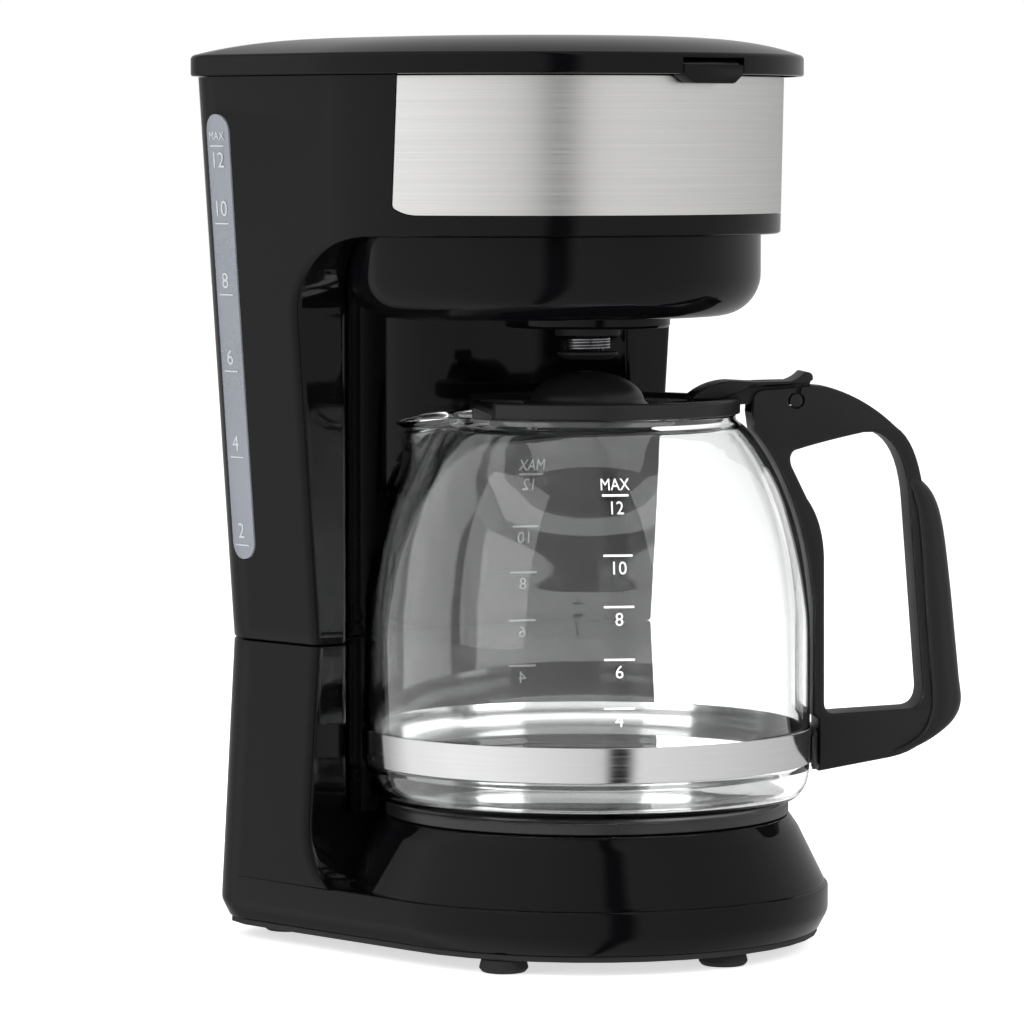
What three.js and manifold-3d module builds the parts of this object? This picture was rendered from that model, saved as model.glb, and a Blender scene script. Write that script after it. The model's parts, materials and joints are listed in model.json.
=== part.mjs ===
// Twelve-cup drip coffee maker, in millimetres, +Z up, front towards -Y.
// The carafe's axis is the model's own axis until the whole group is moved so that
// the middle of its footprint stands on the origin.
import * as THREE from "three";
import { mergeVertices } from "three/addons/utils/BufferGeometryUtils.js";
import Module from "manifold-3d";

const wasm = await Module();
wasm.setup();

// ---------------------------------------------------------------- driving dimensions

const gap = 0.3; // between pieces that touch
const wall = 2.5; // moulded shells

const feet = {
  height: 4.8,
  radius: 8.5,
  stemRadius: 2.2,
  ring: 70,
  sideX: 67,
  sideY: -32,
  rearSide: 60,
  rearY: 94,
};
const base = {
  bottom: 7,
  chamfer: 6,
  chamferInset: 3.2,
  rimTop: 22.5,
  skirtFoot: 1.4,
  skirtTop: 45,
  deck: 46.5,
  radius: 85,
  skirtTopRadius: 73,
  deckRadius: 71.2,
  rearHalfWidth: 88.4,
};
const tower = {
  seam: 106,
  seamHalfWidth: 81.8,
  topHalfWidth: 97.2,
  rearY: 113,
  cornerRadius: 25,
  frontY: 52,
  footSweep: 16,
};
const bay = { radius: 85 };
const head = {
  lip: 250,
  top: 305,
  centreY: 33.7,
  lipRadius: 90.9,
  topRadius: 92,
  sweepDepth: 42,
  sweepHeight: 28,
};
const steel = { bottom: 257.3, thickness: 0.7, halfAngle: 69, corner: 3.5 };
const bowl = { radius: 84, bottom: 221, round: 15, wall: 2.2, outletRadius: 34 };
const lid = {
  radius: 99,
  rearHalfWidth: 99.4,
  rearY: 114.6,
  rim: 7.6,
  crown: 6.4,
  skin: 2.4,
  tabWidth: 28,
  tabDrop: 3.2,
  hingeY: 119.2,
  barrelRadius: 3.6,
  pinRadius: 1.4,
  knuckleLength: 13,
  hingeX: 46,
};
const slotWindow = { bottom: 135, top: 292, halfWidth: 6.3, centreY: 88, proud: 0.5, lip: 2.2 };
const tank = { bottom: 113, top: 288, halfWidth: 73, wall: 2, frontY: 58, rearY: 108.5, bayGap: 4.4 };
const riser = { x: 70.5, y: 62.5, radius: 4.6, bore: 3, room: 3.4 };
const deckTray = { bottom: 289.5, thickness: 2.2, basketHole: 52.4, fillHalfWidth: 58, fillFrontY: 70 };
const basket = {
  rimRadius: 54.8,
  topRadius: 51.6,
  footRadius: 40,
  flange: 2,
  bottom: 227,
  wall: 1.8,
  outletRadius: 8.2,
};
const filter = { clear: 1, bottom: 233.5, wall: 1.2, handleWidth: 12 };
const valve = { seatRadius: 11.5, bore: 5, plungerRadius: 4.2, bottom: 206.3, cupRadius: 10.6 };
const springWire = { coilRadius: 7.4, wire: 0.55, turns: 4 };
const plate = { radius: 71, top: 51.2, thickness: 1.4, holeRadius: 61 };
const heater = {
  rodRadius: 3.4,
  ringRadius: 42,
  waterRadius: 5,
  bore: 3.2,
  tailX: 15,
  tailY: 62,
  tailDrop: 9,
};
const carafe = {
  outerRadius: 78.4,
  wall: 2.3,
  bottom: 51.5,
  rim: 187,
  neckRadius: 52,
  spoutReach: 15.5,
  spoutHalfAngle: 24,
  turn: 56, // degrees from the front, towards +X
};
const band = { bottom: 65.5, top: 77.6, thickness: 0.7 };
const handle = { width: 19, gripWidth: 20, pivotRadius: 73, pivotZ: 191.6, pinRadius: 1.5 };
const carafeLid = { radius: 53.6, bottom: 187.3, top: 192.6, domeRadius: 20, domeTop: 202.2, spoutCut: 37 };
const rocker = { y: 82, z: 58, width: 20, height: 13, wall: 1.6, tilt: 7 };
const inlet = { x: -28, z: 26, radius: 7.5, bore: 4 };
const screwSize = { headRadius: 3.1, headHeight: 2, shankRadius: 1.5, length: 13, bossRadius: 4 };

const rad = THREE.MathUtils.degToRad;
const seamZ = tower.seam;

// ---------------------------------------------------------------- solids

// A closed three.js geometry as a solid that can be cut and joined.
function solid(geometry) {
  const bare = geometry.index ? geometry.toNonIndexed() : geometry.clone();
  for (const name of Object.keys(bare.attributes)) if (name !== "position") bare.deleteAttribute(name);
  const welded = mergeVertices(bare, 1e-4);
  const index = welded.index.array;
  const faces = [];
  for (let i = 0; i < index.length; i += 3) {
    const [a, b, c] = [index[i], index[i + 1], index[i + 2]];
    if (a !== b && b !== c && c !== a) faces.push(a, b, c);
  }
  const points = welded.attributes.position.array;
  if (signedVolume(points, faces) < 0) faces.reverse();
  const mesh = new wasm.Mesh({
    numProp: 3,
    vertProperties: new Float32Array(points),
    triVerts: new Uint32Array(faces),
  });
  mesh.merge();
  return new wasm.Manifold(mesh);
}

function signedVolume(points, faces) {
  let sum = 0;
  for (let i = 0; i < faces.length; i += 3) {
    const [a, b, c] = [0, 1, 2].map((k) => new THREE.Vector3().fromArray(points, 3 * faces[i + k]));
    sum += a.dot(b.cross(c)) / 6;
  }
  return sum;
}

// Triangles thinner than this are merged into their neighbours.
const finest = 0.02;

function geometryOf(body) {
  const { vertProperties, triVerts, numProp } = body.asOriginal().simplify(finest).getMesh();
  const points = new Float32Array((vertProperties.length / numProp) * 3);
  for (let i = 0; i < points.length / 3; i++)
    for (let k = 0; k < 3; k++) points[3 * i + k] = vertProperties[numProp * i + k];
  const made = new THREE.BufferGeometry();
  made.setAttribute("position", new THREE.BufferAttribute(points, 3));
  made.setIndex(new THREE.BufferAttribute(new Uint32Array(triVerts), 1));
  const flat = made.toNonIndexed();
  flat.computeVertexNormals();
  return flat;
}

const join = (first, ...others) => others.reduce((whole, other) => whole.add(other), first);
const cut = (first, ...others) => others.reduce((whole, other) => whole.subtract(other), first);

// Turned about the Z axis; the profile is [radius, z] pairs and is closed here.
function turned(profile, segments = 48, centre = [0, 0]) {
  const points = profile.map(([r, z]) => new THREE.Vector2(r, z));
  points.push(points[0].clone());
  const made = new THREE.LatheGeometry(points, segments).rotateX(Math.PI / 2);
  return solid(made.translate(centre[0], centre[1], 0));
}

const disc = (radius, low, high, centre, segments = 24) =>
  turned([[0, low], [radius, low], [radius, high], [0, high]], segments, centre);

function box([x0, y0, z0], [x1, y1, z1]) {
  const made = new THREE.BoxGeometry(x1 - x0, y1 - y0, z1 - z0);
  return solid(made.translate((x0 + x1) / 2, (y0 + y1) / 2, (z0 + z1) / 2));
}

// A plan outline raised from one height to another.
function raised(shape, low, high, curveSegments = 12) {
  const made = new THREE.ExtrudeGeometry(shape, { depth: high - low, bevelEnabled: false, curveSegments });
  return solid(made.translate(0, 0, low));
}

const vector = (x, y, z) => new THREE.Vector3(x, y, z);

// A shape drawn in the Y-Z plane, carried across from one x to another.
function acrossShape(shape, fromX, toX, curveSegments = 8) {
  const made = new THREE.ExtrudeGeometry(shape, { depth: toX - fromX, bevelEnabled: false, curveSegments });
  made.applyMatrix4(new THREE.Matrix4().makeBasis(vector(0, 1, 0), vector(0, 0, 1), vector(1, 0, 0)));
  return solid(made.translate(fromX, 0, 0));
}

const across = (points, fromX, toX) =>
  acrossShape(new THREE.Shape(points.map(([y, z]) => new THREE.Vector2(y, z))), fromX, toX);

// Rings of equally many points, lowest first, joined into one closed skin.
function lofted(rings) {
  const count = rings[0].length;
  const points = rings.flat();
  const middle = (ring) => ring.reduce((sum, p) => sum.add(p), new THREE.Vector3()).divideScalar(count);
  const low = points.push(middle(rings[0])) - 1;
  const high = points.push(middle(rings.at(-1))) - 1;
  const faces = [];
  for (let i = 0; i < count; i++) {
    const next = (i + 1) % count;
    faces.push(low, next, i);
    for (let k = 0; k < rings.length - 1; k++) {
      const [a, b] = [k * count + i, k * count + next];
      faces.push(a, b, b + count, a, b + count, a + count);
    }
    const top = (rings.length - 1) * count;
    faces.push(high, top + i, top + next);
  }
  const made = new THREE.BufferGeometry().setFromPoints(points);
  made.setIndex(faces);
  return solid(made);
}

// A round bar along a path.
function bar(path, radius, steps, sides = 12) {
  const section = new THREE.Shape().absarc(0, 0, radius, 0, 2 * Math.PI);
  const made = new THREE.ExtrudeGeometry(section, {
    extrudePath: path,
    steps,
    curveSegments: sides / 2,
    bevelEnabled: false,
  });
  return solid(made);
}

// ---------------------------------------------------------------- outlines in plan

// A round front joined by straight sides to a wider, square-cornered rear.
function planRing({ frontRadius, centreY, halfWidth, rearY, corner, z }, steps = 20) {
  const ring = [];
  for (let i = 0; i <= steps; i++) {
    const angle = Math.PI + (Math.PI * i) / steps;
    ring.push(vector(frontRadius * Math.cos(angle), centreY + frontRadius * Math.sin(angle), z));
  }
  const cornerSteps = 3;
  for (const side of [1, -1])
    for (let i = 0; i <= cornerSteps; i++) {
      const turn = ((side > 0 ? i : cornerSteps - i) * Math.PI) / 2 / cornerSteps;
      const x = side * (halfWidth - corner + corner * Math.cos(turn));
      ring.push(vector(x, rearY - corner + corner * Math.sin(turn), z));
    }
  return ring;
}

const mix = THREE.MathUtils.lerp;
const share = (z, low, high) => (z - low) / (high - low);
const upperHalfWidth = (z) => mix(tower.seamHalfWidth, tower.topHalfWidth, share(z, seamZ, head.top));
const lowerHalfWidth = (z) => mix(base.rearHalfWidth, tower.seamHalfWidth, share(z, base.bottom, seamZ));
const headRadius = (z) => mix(head.lipRadius, head.topRadius, share(z, head.lip, head.top));
const frontRadius = (z) =>
  z < head.lip ? headRadius(head.lip) + upperHalfWidth(z) - upperHalfWidth(head.lip) : headRadius(z);

function upperRing(z, inset = 0) {
  return planRing({
    frontRadius: frontRadius(z) - inset,
    centreY: head.centreY,
    halfWidth: upperHalfWidth(z) - inset,
    rearY: tower.rearY - inset,
    corner: tower.cornerRadius - inset,
    z,
  });
}

// The base's round front narrows to the tower's own only above the rim.
const lowerFrontRadius = (z) =>
  mix(base.radius, frontRadius(seamZ), Math.max(0, share(z, base.rimTop, seamZ)));
const lowerCentreY = (z) => mix(0, head.centreY, Math.max(0, share(z, base.rimTop, seamZ)));

function lowerRing(z, inset = 0) {
  return planRing({
    frontRadius: lowerFrontRadius(z) - inset,
    centreY: lowerCentreY(z),
    halfWidth: lowerHalfWidth(z) - inset,
    rearY: tower.rearY - inset,
    corner: tower.cornerRadius - inset,
    z,
  });
}

const far = 2 * base.radius;
const slab = (low, high) => box([-far, -far, low], [far, far, high]);

// The plan of the tower and head, or of the base, at every height, moved in by an inset.
const upperPlan = (inset) =>
  lofted([seamZ - 3, head.lip, head.top + 3].map((z) => upperRing(z, inset)));
const lowerPlan = (inset) =>
  lofted([base.bottom - 5, base.rimTop, seamZ, seamZ + 6].map((z) => lowerRing(z, inset)));

// ---------------------------------------------------------------- upper housing

// The tower and the head from the side, as [y, z] points, with the sweep between them.
function upperSide(inset, low, high) {
  const front = tower.frontY + inset;
  const floor = head.lip + inset;
  const outline = [[front, low]];
  const steps = 10;
  for (let i = 0; i <= steps; i++) {
    const turn = (Math.PI / 2) * (i / steps);
    const y = front - head.sweepDepth * (1 - Math.cos(turn));
    outline.push([y, floor - head.sweepHeight * (1 - Math.sin(turn))]);
  }
  outline.push([-far, floor], [-far, high], [far, high], [far, low]);
  return outline;
}

function upperBody(inset, low, high) {
  const side = across(upperSide(inset, low, high), -far, far);
  const carafeRoom = disc(bay.radius + inset, low - 1, head.lip + inset, [0, 0], 40);
  return cut(upperPlan(inset).intersect(side), carafeRoom);
}

const steelHalfX = head.topRadius * Math.sin(rad(steel.halfAngle));

// The band's outline seen from the front, with its two lower corners rounded.
function bandFront(halfX, low, high, corner) {
  const shape = new THREE.Shape();
  shape.moveTo(-halfX, high);
  shape.lineTo(-halfX, low + corner);
  shape.absarc(-halfX + corner, low + corner, corner, Math.PI, 1.5 * Math.PI);
  shape.absarc(halfX - corner, low + corner, corner, 1.5 * Math.PI, 2 * Math.PI);
  shape.lineTo(halfX, high);
  const made = new THREE.ExtrudeGeometry(shape, { depth: 110, bevelEnabled: false, curveSegments: 5 });
  made.rotateX(Math.PI / 2);
  return solid(made.translate(0, head.centreY, 0));
}

function steelBand() {
  const skin = cut(upperPlan(0), upperPlan(steel.thickness));
  return skin.intersect(bandFront(steelHalfX, steel.bottom, head.top - gap, steel.corner));
}

function windowHole(grow) {
  const { bottom, top, halfWidth, centreY } = slotWindow;
  const shape = new THREE.Shape();
  const radius = halfWidth + grow;
  shape.absarc(centreY, bottom + halfWidth, radius, Math.PI, 2 * Math.PI);
  shape.absarc(centreY, top - halfWidth, radius, 0, Math.PI);
  return acrossShape(shape, -far, -tank.halfWidth);
}

const hingeZ = head.top - lid.barrelRadius + 1.2;

// A hinge barrel with an arm to the wall or skirt beside it.
function knuckle(fromX, toX, armFrom, armTo) {
  const profile = new THREE.Shape().absarc(lid.hingeY, hingeZ, lid.barrelRadius, 0, 2 * Math.PI);
  const barrel = acrossShape(profile, fromX, toX, 10);
  const arm = box([fromX, armFrom[0], armFrom[1]], [toX, armTo[0], armTo[1]]);
  return join(barrel, arm);
}

function alongX(y, z, radius, fromX, toX, sides = 16) {
  const made = new THREE.CylinderGeometry(radius, radius, toX - fromX, sides);
  made.rotateZ(Math.PI / 2);
  return solid(made.translate((fromX + toX) / 2, y, z));
}

function upperHousing() {
  const top = head.top;
  let shell = upperBody(0, seamZ + gap, top);
  shell = cut(shell, upperBody(wall, seamZ - 1, top + 1));
  const ledge = 6;
  const overHead = disc(bowl.radius - ledge, head.lip - 1, head.lip + wall + 1, [0, head.centreY], 40);
  const overBay = disc(bay.radius - ledge, head.lip - 1, head.lip + wall + 1, [0, 0], 40);
  shell = cut(shell, overHead.intersect(overBay));
  const seatFront = bandFront(steelHalfX + gap, steel.bottom - gap, top + 1, steel.corner);
  shell = cut(shell, cut(seatFront, upperPlan(steel.thickness + gap)));
  shell = cut(shell, windowHole(gap));
  for (const side of [-1, 1]) {
    const start = side * lid.hingeX - lid.knuckleLength / 2;
    const end = start + lid.knuckleLength;
    const lug = knuckle(start, end, [tower.rearY - 1, hingeZ - lid.barrelRadius], [lid.hingeY, hingeZ]);
    shell = join(shell, cut(lug, alongX(lid.hingeY, hingeZ, lid.pinRadius + gap, start - 1, end + 1)));
  }
  return shell;
}

function waterWindow() {
  const { lip, proud } = slotWindow;
  const lens = cut(windowHole(0).intersect(upperPlan(-proud)), upperPlan(wall + gap + lip));
  const flange = windowHole(1.6).intersect(upperPlan(wall + gap));
  return join(lens, cut(flange, upperPlan(wall + gap + lip)));
}

// ---------------------------------------------------------------- lower housing

function lowerSide(inset, low, high) {
  const front = tower.frontY + inset;
  const outline = [[front, high], [front, base.skirtTop + inset]];
  const steps = 6;
  const rim = base.rimTop - inset;
  for (let i = 1; i <= steps; i++) {
    const turn = (Math.PI / 2) * (i / steps);
    const drop = base.skirtTop - base.rimTop + 2 * inset;
    outline.push([front - tower.footSweep * (1 - Math.cos(turn)), rim + drop * (1 - Math.sin(turn))]);
  }
  outline.push([-far, rim], [-far, low], [far, low], [far, high]);
  return outline;
}

function lowerBody(inset, low, high) {
  const { bottom, chamfer, chamferInset } = base;
  const bevel = lofted([
    lowerRing(bottom - 3, inset + chamferInset * (1 + 3 / chamfer)),
    lowerRing(bottom + chamfer, inset),
    lowerRing(base.rimTop, inset - 1),
    lowerRing(seamZ + 6, inset - 6),
  ]);
  const side = across(lowerSide(inset, low, high), -far, far);
  const carafeRoom = disc(bay.radius + inset, base.deck - inset, high + 1, [0, 0], 40);
  const walls = cut(lowerPlan(inset).intersect(bevel).intersect(side), carafeRoom);
  const skirt = turned([
    [0, base.bottom + 1],
    [base.skirtTopRadius - inset, base.bottom + 1],
    [base.radius - base.skirtFoot - inset, base.rimTop - 2],
    [base.radius - base.skirtFoot - inset, base.rimTop + 0.8],
    [base.skirtTopRadius + 1.4 - inset, base.skirtTop - 3],
    [base.deckRadius - inset, base.deck - inset],
    [0, base.deck - inset],
  ], inset ? 32 : 48);
  return join(walls, skirt);
}

const bossSpots = [
  [-48, -48, base.deck - 1],
  [48, -48, base.deck - 1],
  [-50, tower.rearY - 10, 34],
  [50, tower.rearY - 10, 34],
];
const coverTop = 9.4;

const switchHalf = [rocker.width / 2 + rocker.wall, rocker.height / 2 + rocker.wall];
const switchFlange = 2;
const switchFace = lowerHalfWidth(rocker.z + switchHalf[1] + switchFlange + 1) - 0.4;

// How far in from the wall's outside the cover's own rim stands.
const lipInset = wall + 3;

// Inside both the lower and the upper wall, whichever is tighter.
const insideBoth = (inset) => lowerPlan(inset).intersect(upperPlan(inset));

// The rim that stands up inside the tower's upper part at the seam.
function lapRim() {
  const thick = 1.6;
  const reach = 4;
  const ring = cut(insideBoth(wall + gap), insideBoth(wall + gap + thick));
  const rim = ring.intersect(slab(seamZ - 2, seamZ + reach));
  const skin = cut(lowerPlan(wall - 0.2), lowerPlan(wall + gap + thick));
  const foot = skin.intersect(slab(seamZ - 9, seamZ - 1.5));
  const clearOfBay = disc(bay.radius + wall + 6, 0, 2 * seamZ, [0, 0], 40);
  const keep = box([-far, tower.frontY + wall + 8, 0], [far, far, 2 * seamZ]);
  return cut(join(rim, foot).intersect(keep), clearOfBay);
}

function lowerHousing() {
  let shell = lowerBody(0, base.bottom, seamZ);
  shell = cut(shell, lowerBody(wall, base.bottom - 1, seamZ + 1));
  shell = cut(shell, lowerPlan(lipInset).intersect(slab(base.bottom - 1, base.bottom + 6)));
  shell = join(shell, lapRim());
  for (const [x, y, high] of bossSpots) {
    shell = join(shell, disc(screwSize.bossRadius, coverTop + gap, high, [x, y], 10));
    if (y > 0) shell = join(shell, box([x - 1, y, coverTop + gap], [x + 1, tower.rearY - 1, high]));
  }
  for (const [x, y] of bossSpots)
    shell = cut(shell, disc(screwSize.shankRadius + gap, 0, coverTop + screwSize.length, [x, y], 10));
  shell = cut(shell, disc(plate.holeRadius, base.deck - wall - 6, base.deck + 1, [0, 0], 40));
  const { y, z } = rocker;
  const half = [switchHalf[0] + gap, switchHalf[1] + gap];
  const edge = switchFlange + gap;
  shell = cut(
    shell,
    box([tank.halfWidth - 3, y - half[0], z - half[1]], [far, y + half[0], z + half[1]]),
    box(
      [switchFace - gap, y - half[0] - edge, z - half[1] - edge],
      [far, y + half[0] + edge, z + half[1] + edge],
    ),
  );
  const inletHole = new THREE.CylinderGeometry(inlet.radius - 1.5 + gap, inlet.radius - 1.5 + gap, 12, 20);
  shell = cut(shell, solid(inletHole.translate(inlet.x, tower.rearY, inlet.z)));
  return shell;
}

const footSpots = [
  [0, -feet.ring],
  [-feet.sideX, feet.sideY],
  [feet.sideX, feet.sideY],
  [-feet.rearSide, feet.rearY],
  [feet.rearSide, feet.rearY],
];

function baseCover() {
  const low = feet.height;
  const sole = lowerPlan(base.chamferInset + 0.6).intersect(slab(low, base.bottom - gap));
  const lip = lowerPlan(lipInset + gap).intersect(slab(low, coverTop));
  const room = lowerPlan(lipInset + gap + 2).intersect(slab(low + 2, coverTop + 1));
  let cover = cut(join(sole, lip), room);
  for (const [x, y] of bossSpots) {
    const boss = disc(screwSize.bossRadius + 1.4, low, coverTop, [x, y], 10);
    cover = join(cover, boss.intersect(lowerPlan(lipInset + gap)));
    cover = cut(
      cover,
      disc(screwSize.shankRadius + gap, low - 1, coverTop + 1, [x, y], 10),
      disc(screwSize.headRadius + gap, low - 1, low + screwSize.headHeight + gap, [x, y], 10),
    );
  }
  for (const [x, y] of footSpots)
    cover = cut(cover, disc(feet.stemRadius + gap, low - 1, coverTop + 1, [x, y], 10));
  for (let i = -2; i <= 2; i++) {
    const x = i * 14;
    cover = cut(cover, box([x - 2, 20, low - 1], [x + 2, 62, coverTop]));
  }
  return cover;
}

function foot() {
  const { height, radius, stemRadius } = feet;
  return turned([
    [0, 0],
    [radius - 1.2, 0],
    [radius, 1.2],
    [radius - 0.8, height - gap],
    [stemRadius, height - gap],
    [stemRadius, coverTop],
    [0, coverTop],
  ], 12);
}

function coverScrew() {
  const { headRadius: top, headHeight, shankRadius, length } = screwSize;
  const low = feet.height + 0.2;
  const body = turned([
    [0, low],
    [top, low],
    [top, low + headHeight - gap],
    [shankRadius, low + headHeight - gap],
    [shankRadius, low + length],
    [0, low + length],
  ], 8);
  const slot = [box([-2, -0.4, low - 1], [2, 0.4, low + 1]), box([-0.4, -2, low - 1], [0.4, 2, low + 1])];
  return cut(body, ...slot);
}

// ---------------------------------------------------------------- hot plate and heater

function warmingPlate() {
  const { radius, top, thickness, holeRadius } = plate;
  return turned([
    [0, top - thickness],
    [holeRadius - 6, top - thickness],
    [radius - 2.2, top - thickness],
    [radius - 1.6, base.deck + gap],
    [radius, base.deck + gap],
    [radius, top - 1.2],
    [radius - 1.4, top],
    [0, top],
  ], 40);
}

function plateSeal() {
  const { holeRadius, top, thickness } = plate;
  const high = top - thickness - gap;
  return turned([
    [holeRadius - 2.4, base.deck - wall],
    [holeRadius - gap, base.deck - wall],
    [holeRadius - gap, base.deck + gap],
    [holeRadius + 4, base.deck + gap],
    [holeRadius + 4, high],
    [holeRadius - 2.4, high],
  ], 32);
}

const ringZ = plate.top - plate.thickness - gap - heater.waterRadius;
const tailZ = ringZ - heater.tailDrop;

// Nearly a full circle, open at the rear, with both ends run back and down.
function horseshoe(radius, z, tailX, tailY, drop) {
  const opening = Math.asin(tailX / radius);
  const start = Math.PI / 2 + opening;
  const sweep = 2 * Math.PI - 2 * opening;
  const rearY = radius * Math.cos(opening);
  const tail = (side) => [
    vector(side * tailX, mix(rearY, tailY, 0.35), z - drop * 0.12),
    vector(side * tailX, mix(rearY, tailY, 0.66), z - drop * 0.85),
    vector(side * tailX, mix(rearY, tailY, 0.85), z - drop),
    vector(side * tailX, tailY, z - drop),
  ];
  const ring = [];
  const steps = 22;
  for (let i = 0; i <= steps; i++) {
    const angle = start + (sweep * i) / steps;
    ring.push(vector(radius * Math.cos(angle), radius * Math.sin(angle), z));
  }
  return [...tail(-1).reverse(), ...ring, ...tail(1)];
}

function heatingElement() {
  const { rodRadius, ringRadius, waterRadius, bore, tailX, tailY, tailDrop } = heater;
  const water = horseshoe(ringRadius, ringZ, tailX, tailY, tailDrop);
  const rod = horseshoe(ringRadius - waterRadius - rodRadius + 1, ringZ + 1, tailX - 6, tailY - 14, tailDrop);
  const along = (points) => new THREE.CatmullRomCurve3(points, false, "centripetal");
  const body = join(bar(along(water), waterRadius, 26, 8), bar(along(rod), rodRadius, 20, 6));
  const mouth = new THREE.CylinderGeometry(bore, bore, 8, 10);
  const mouths = [-1, 1].map((side) => solid(mouth.clone().translate(side * tailX, tailY, tailZ)));
  return cut(body, ...mouths);
}

const clampLow = ringZ - heater.waterRadius - gap - 1.5;

function heaterClamp() {
  const { ringRadius } = heater;
  const low = clampLow;
  const strip = box([-ringRadius - 8, -8, low], [ringRadius + 8, 8, low + 1.5]);
  const stud = disc(4, low, plate.top - plate.thickness - gap, [0, 0], 16);
  return cut(join(strip, stud), disc(1.9, low - 1, low + 8, [0, 0], 12));
}

function clampScrew() {
  const low = clampLow - gap;
  return turned([
    [0, low - 2.4], [3.4, low - 2.4], [3.4, low], [1.6, low], [1.6, low + 7], [0, low + 7],
  ], 12);
}

function thermostat() {
  const high = clampLow - gap;
  const can = disc(7.5, high - 9, high, [22, 0], 20);
  const tabs = [-3, 3].map((y) => box([22 - 0.6, y - 2, high - 15], [22 + 0.6, y + 2, high - 8]));
  return join(can, ...tabs);
}

function thermalFuse() {
  const z = clampLow - gap - 3;
  const body = new THREE.CylinderGeometry(2.6, 2.6, 22, 14);
  const leads = new THREE.CylinderGeometry(0.6, 0.6, 34, 8);
  const made = join(solid(body), solid(leads));
  return made.translate([-24, 0, z]);
}

function terminalBlock() {
  const low = coverTop + gap + 0.5;
  const block = box([-16, 74, feet.height + 2.2 + gap], [16, 92, low + 12]);
  const holes = [-10, 0, 10].map((x) => disc(2.4, low + 4, low + 20, [x, 83], 12));
  const ways = [-10, 0, 10].map((x) => box([x - 2, 70, low + 2], [x + 2, 78, low + 7]));
  return cut(block, ...holes, ...ways);
}

// ---------------------------------------------------------------- power switch and inlet

function switchFrame() {
  const { y, z, width, height } = rocker;
  const [a, b] = switchHalf;
  const [c, d] = [a + switchFlange, b + switchFlange];
  const flange = box([switchFace, y - c, z - d], [switchFace + 1.6, y + c, z + d]);
  const body = box([switchFace - 13, y - a, z - b], [switchFace + 1, y + a, z + b]);
  const room = box([switchFace - 9, y - width / 2, z - height / 2], [far, y + width / 2, z + height / 2]);
  return cut(join(flange, body), room);
}

function powerRocker() {
  const { y, z, width, height, tilt } = rocker;
  const [a, b] = [width / 2 - 0.7, height / 2 - 0.5];
  const rise = Math.tan(rad(tilt)) * a;
  const outline = [
    [-a, -4.5],
    [-a, rise * 0.9],
    [0, 0],
    [a, -rise * 0.2],
    [a, -4.5],
  ];
  const shape = new THREE.Shape(outline.map(([u, v]) => new THREE.Vector2(u, v)));
  const made = new THREE.ExtrudeGeometry(shape, { depth: 2 * b, bevelEnabled: false });
  made.applyMatrix4(new THREE.Matrix4().makeBasis(vector(0, 1, 0), vector(1, 0, 0), vector(0, 0, 1)));
  return solid(made.translate(switchFace + 1.9, y, z - b));
}

function cordInlet() {
  const { radius, bore, x, z } = inlet;
  const rear = tower.rearY;
  const made = turned([
    [bore, -4 - wall],
    [radius - 1.5, -4 - wall],
    [radius - 1.5, gap],
    [radius, gap],
    [radius, 2.2],
    [radius - 1.2, 3.4],
    [bore, 3.4],
  ], 24);
  return made.rotate([-90, 0, 0]).translate([x, rear, z]);
}

// ---------------------------------------------------------------- water

function tankPlan(inset) {
  const { halfWidth, frontY, rearY, bayGap } = tank;
  const corner = 12;
  const [w, f, r] = [halfWidth - inset, frontY + inset, rearY - inset];
  const shape = new THREE.Shape();
  shape.moveTo(-w, f);
  shape.lineTo(w, f);
  shape.lineTo(w, r - corner);
  shape.absarc(w - corner, r - corner, corner, 0, Math.PI / 2);
  shape.absarc(-w + corner, r - corner, corner, Math.PI / 2, Math.PI);
  const room = disc(bay.radius + bayGap + inset, tank.bottom - 5, tank.top + 5, [0, 0], 64);
  const channel = riser.radius + riser.room + inset;
  return { shape, room, channel };
}

function tankBody(inset, low, high) {
  const { shape, room, channel } = tankPlan(inset);
  const reach = [riser.x - channel, riser.y + channel];
  const post = box([reach[0], 0, low - 1], [tank.halfWidth + 20, reach[1], high + 1]);
  return cut(raised(shape, low, high, 5), room, post);
}

const tankOutlet = { x: -60, y: 86, radius: 5, bore: 3.2, drop: 9 };

function reservoir() {
  const { bottom, top, wall: skin } = tank;
  const { x, y, radius, bore, drop } = tankOutlet;
  let vessel = cut(tankBody(0, bottom, top), tankBody(skin, bottom + skin, top + 1));
  vessel = join(vessel, disc(radius, bottom - drop, bottom + 1, [x, y], 10));
  return cut(vessel, disc(bore, bottom - drop - 1, bottom + skin + 1, [x, y], 10));
}

function tankFilter() {
  const { x, y, bore } = tankOutlet;
  const low = tank.bottom + tank.wall + gap;
  const cap = turned([
    [0, low - 5], [bore - gap, low - 5], [bore - gap, low], [8, low], [8, low + 2.5], [0, low + 7],
  ], 16, [x, y]);
  return cut(cap, disc(1, low - 6, low + 9, [x, y], 8));
}

// From the tank's outlet down to the heater's left-hand tail.
function coldHose() {
  const { x, y, radius, drop } = tankOutlet;
  const start = tank.bottom - drop - gap;
  const end = vector(-heater.tailX, heater.tailY + 2 * gap, tailZ);
  const path = new THREE.CatmullRomCurve3([
    vector(x, y, start),
    vector(x, y, start - 18),
    vector(x + 6, y + 6, start - 40),
    vector(x + 24, y + 8, tailZ + 3),
    vector(end.x, end.y + 12, end.z),
    vector(end.x, end.y + 3, end.z),
    end,
  ], false, "centripetal");
  return cut(bar(path, radius, 16, 8), bar(path, 3, 16, 4));
}

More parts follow.
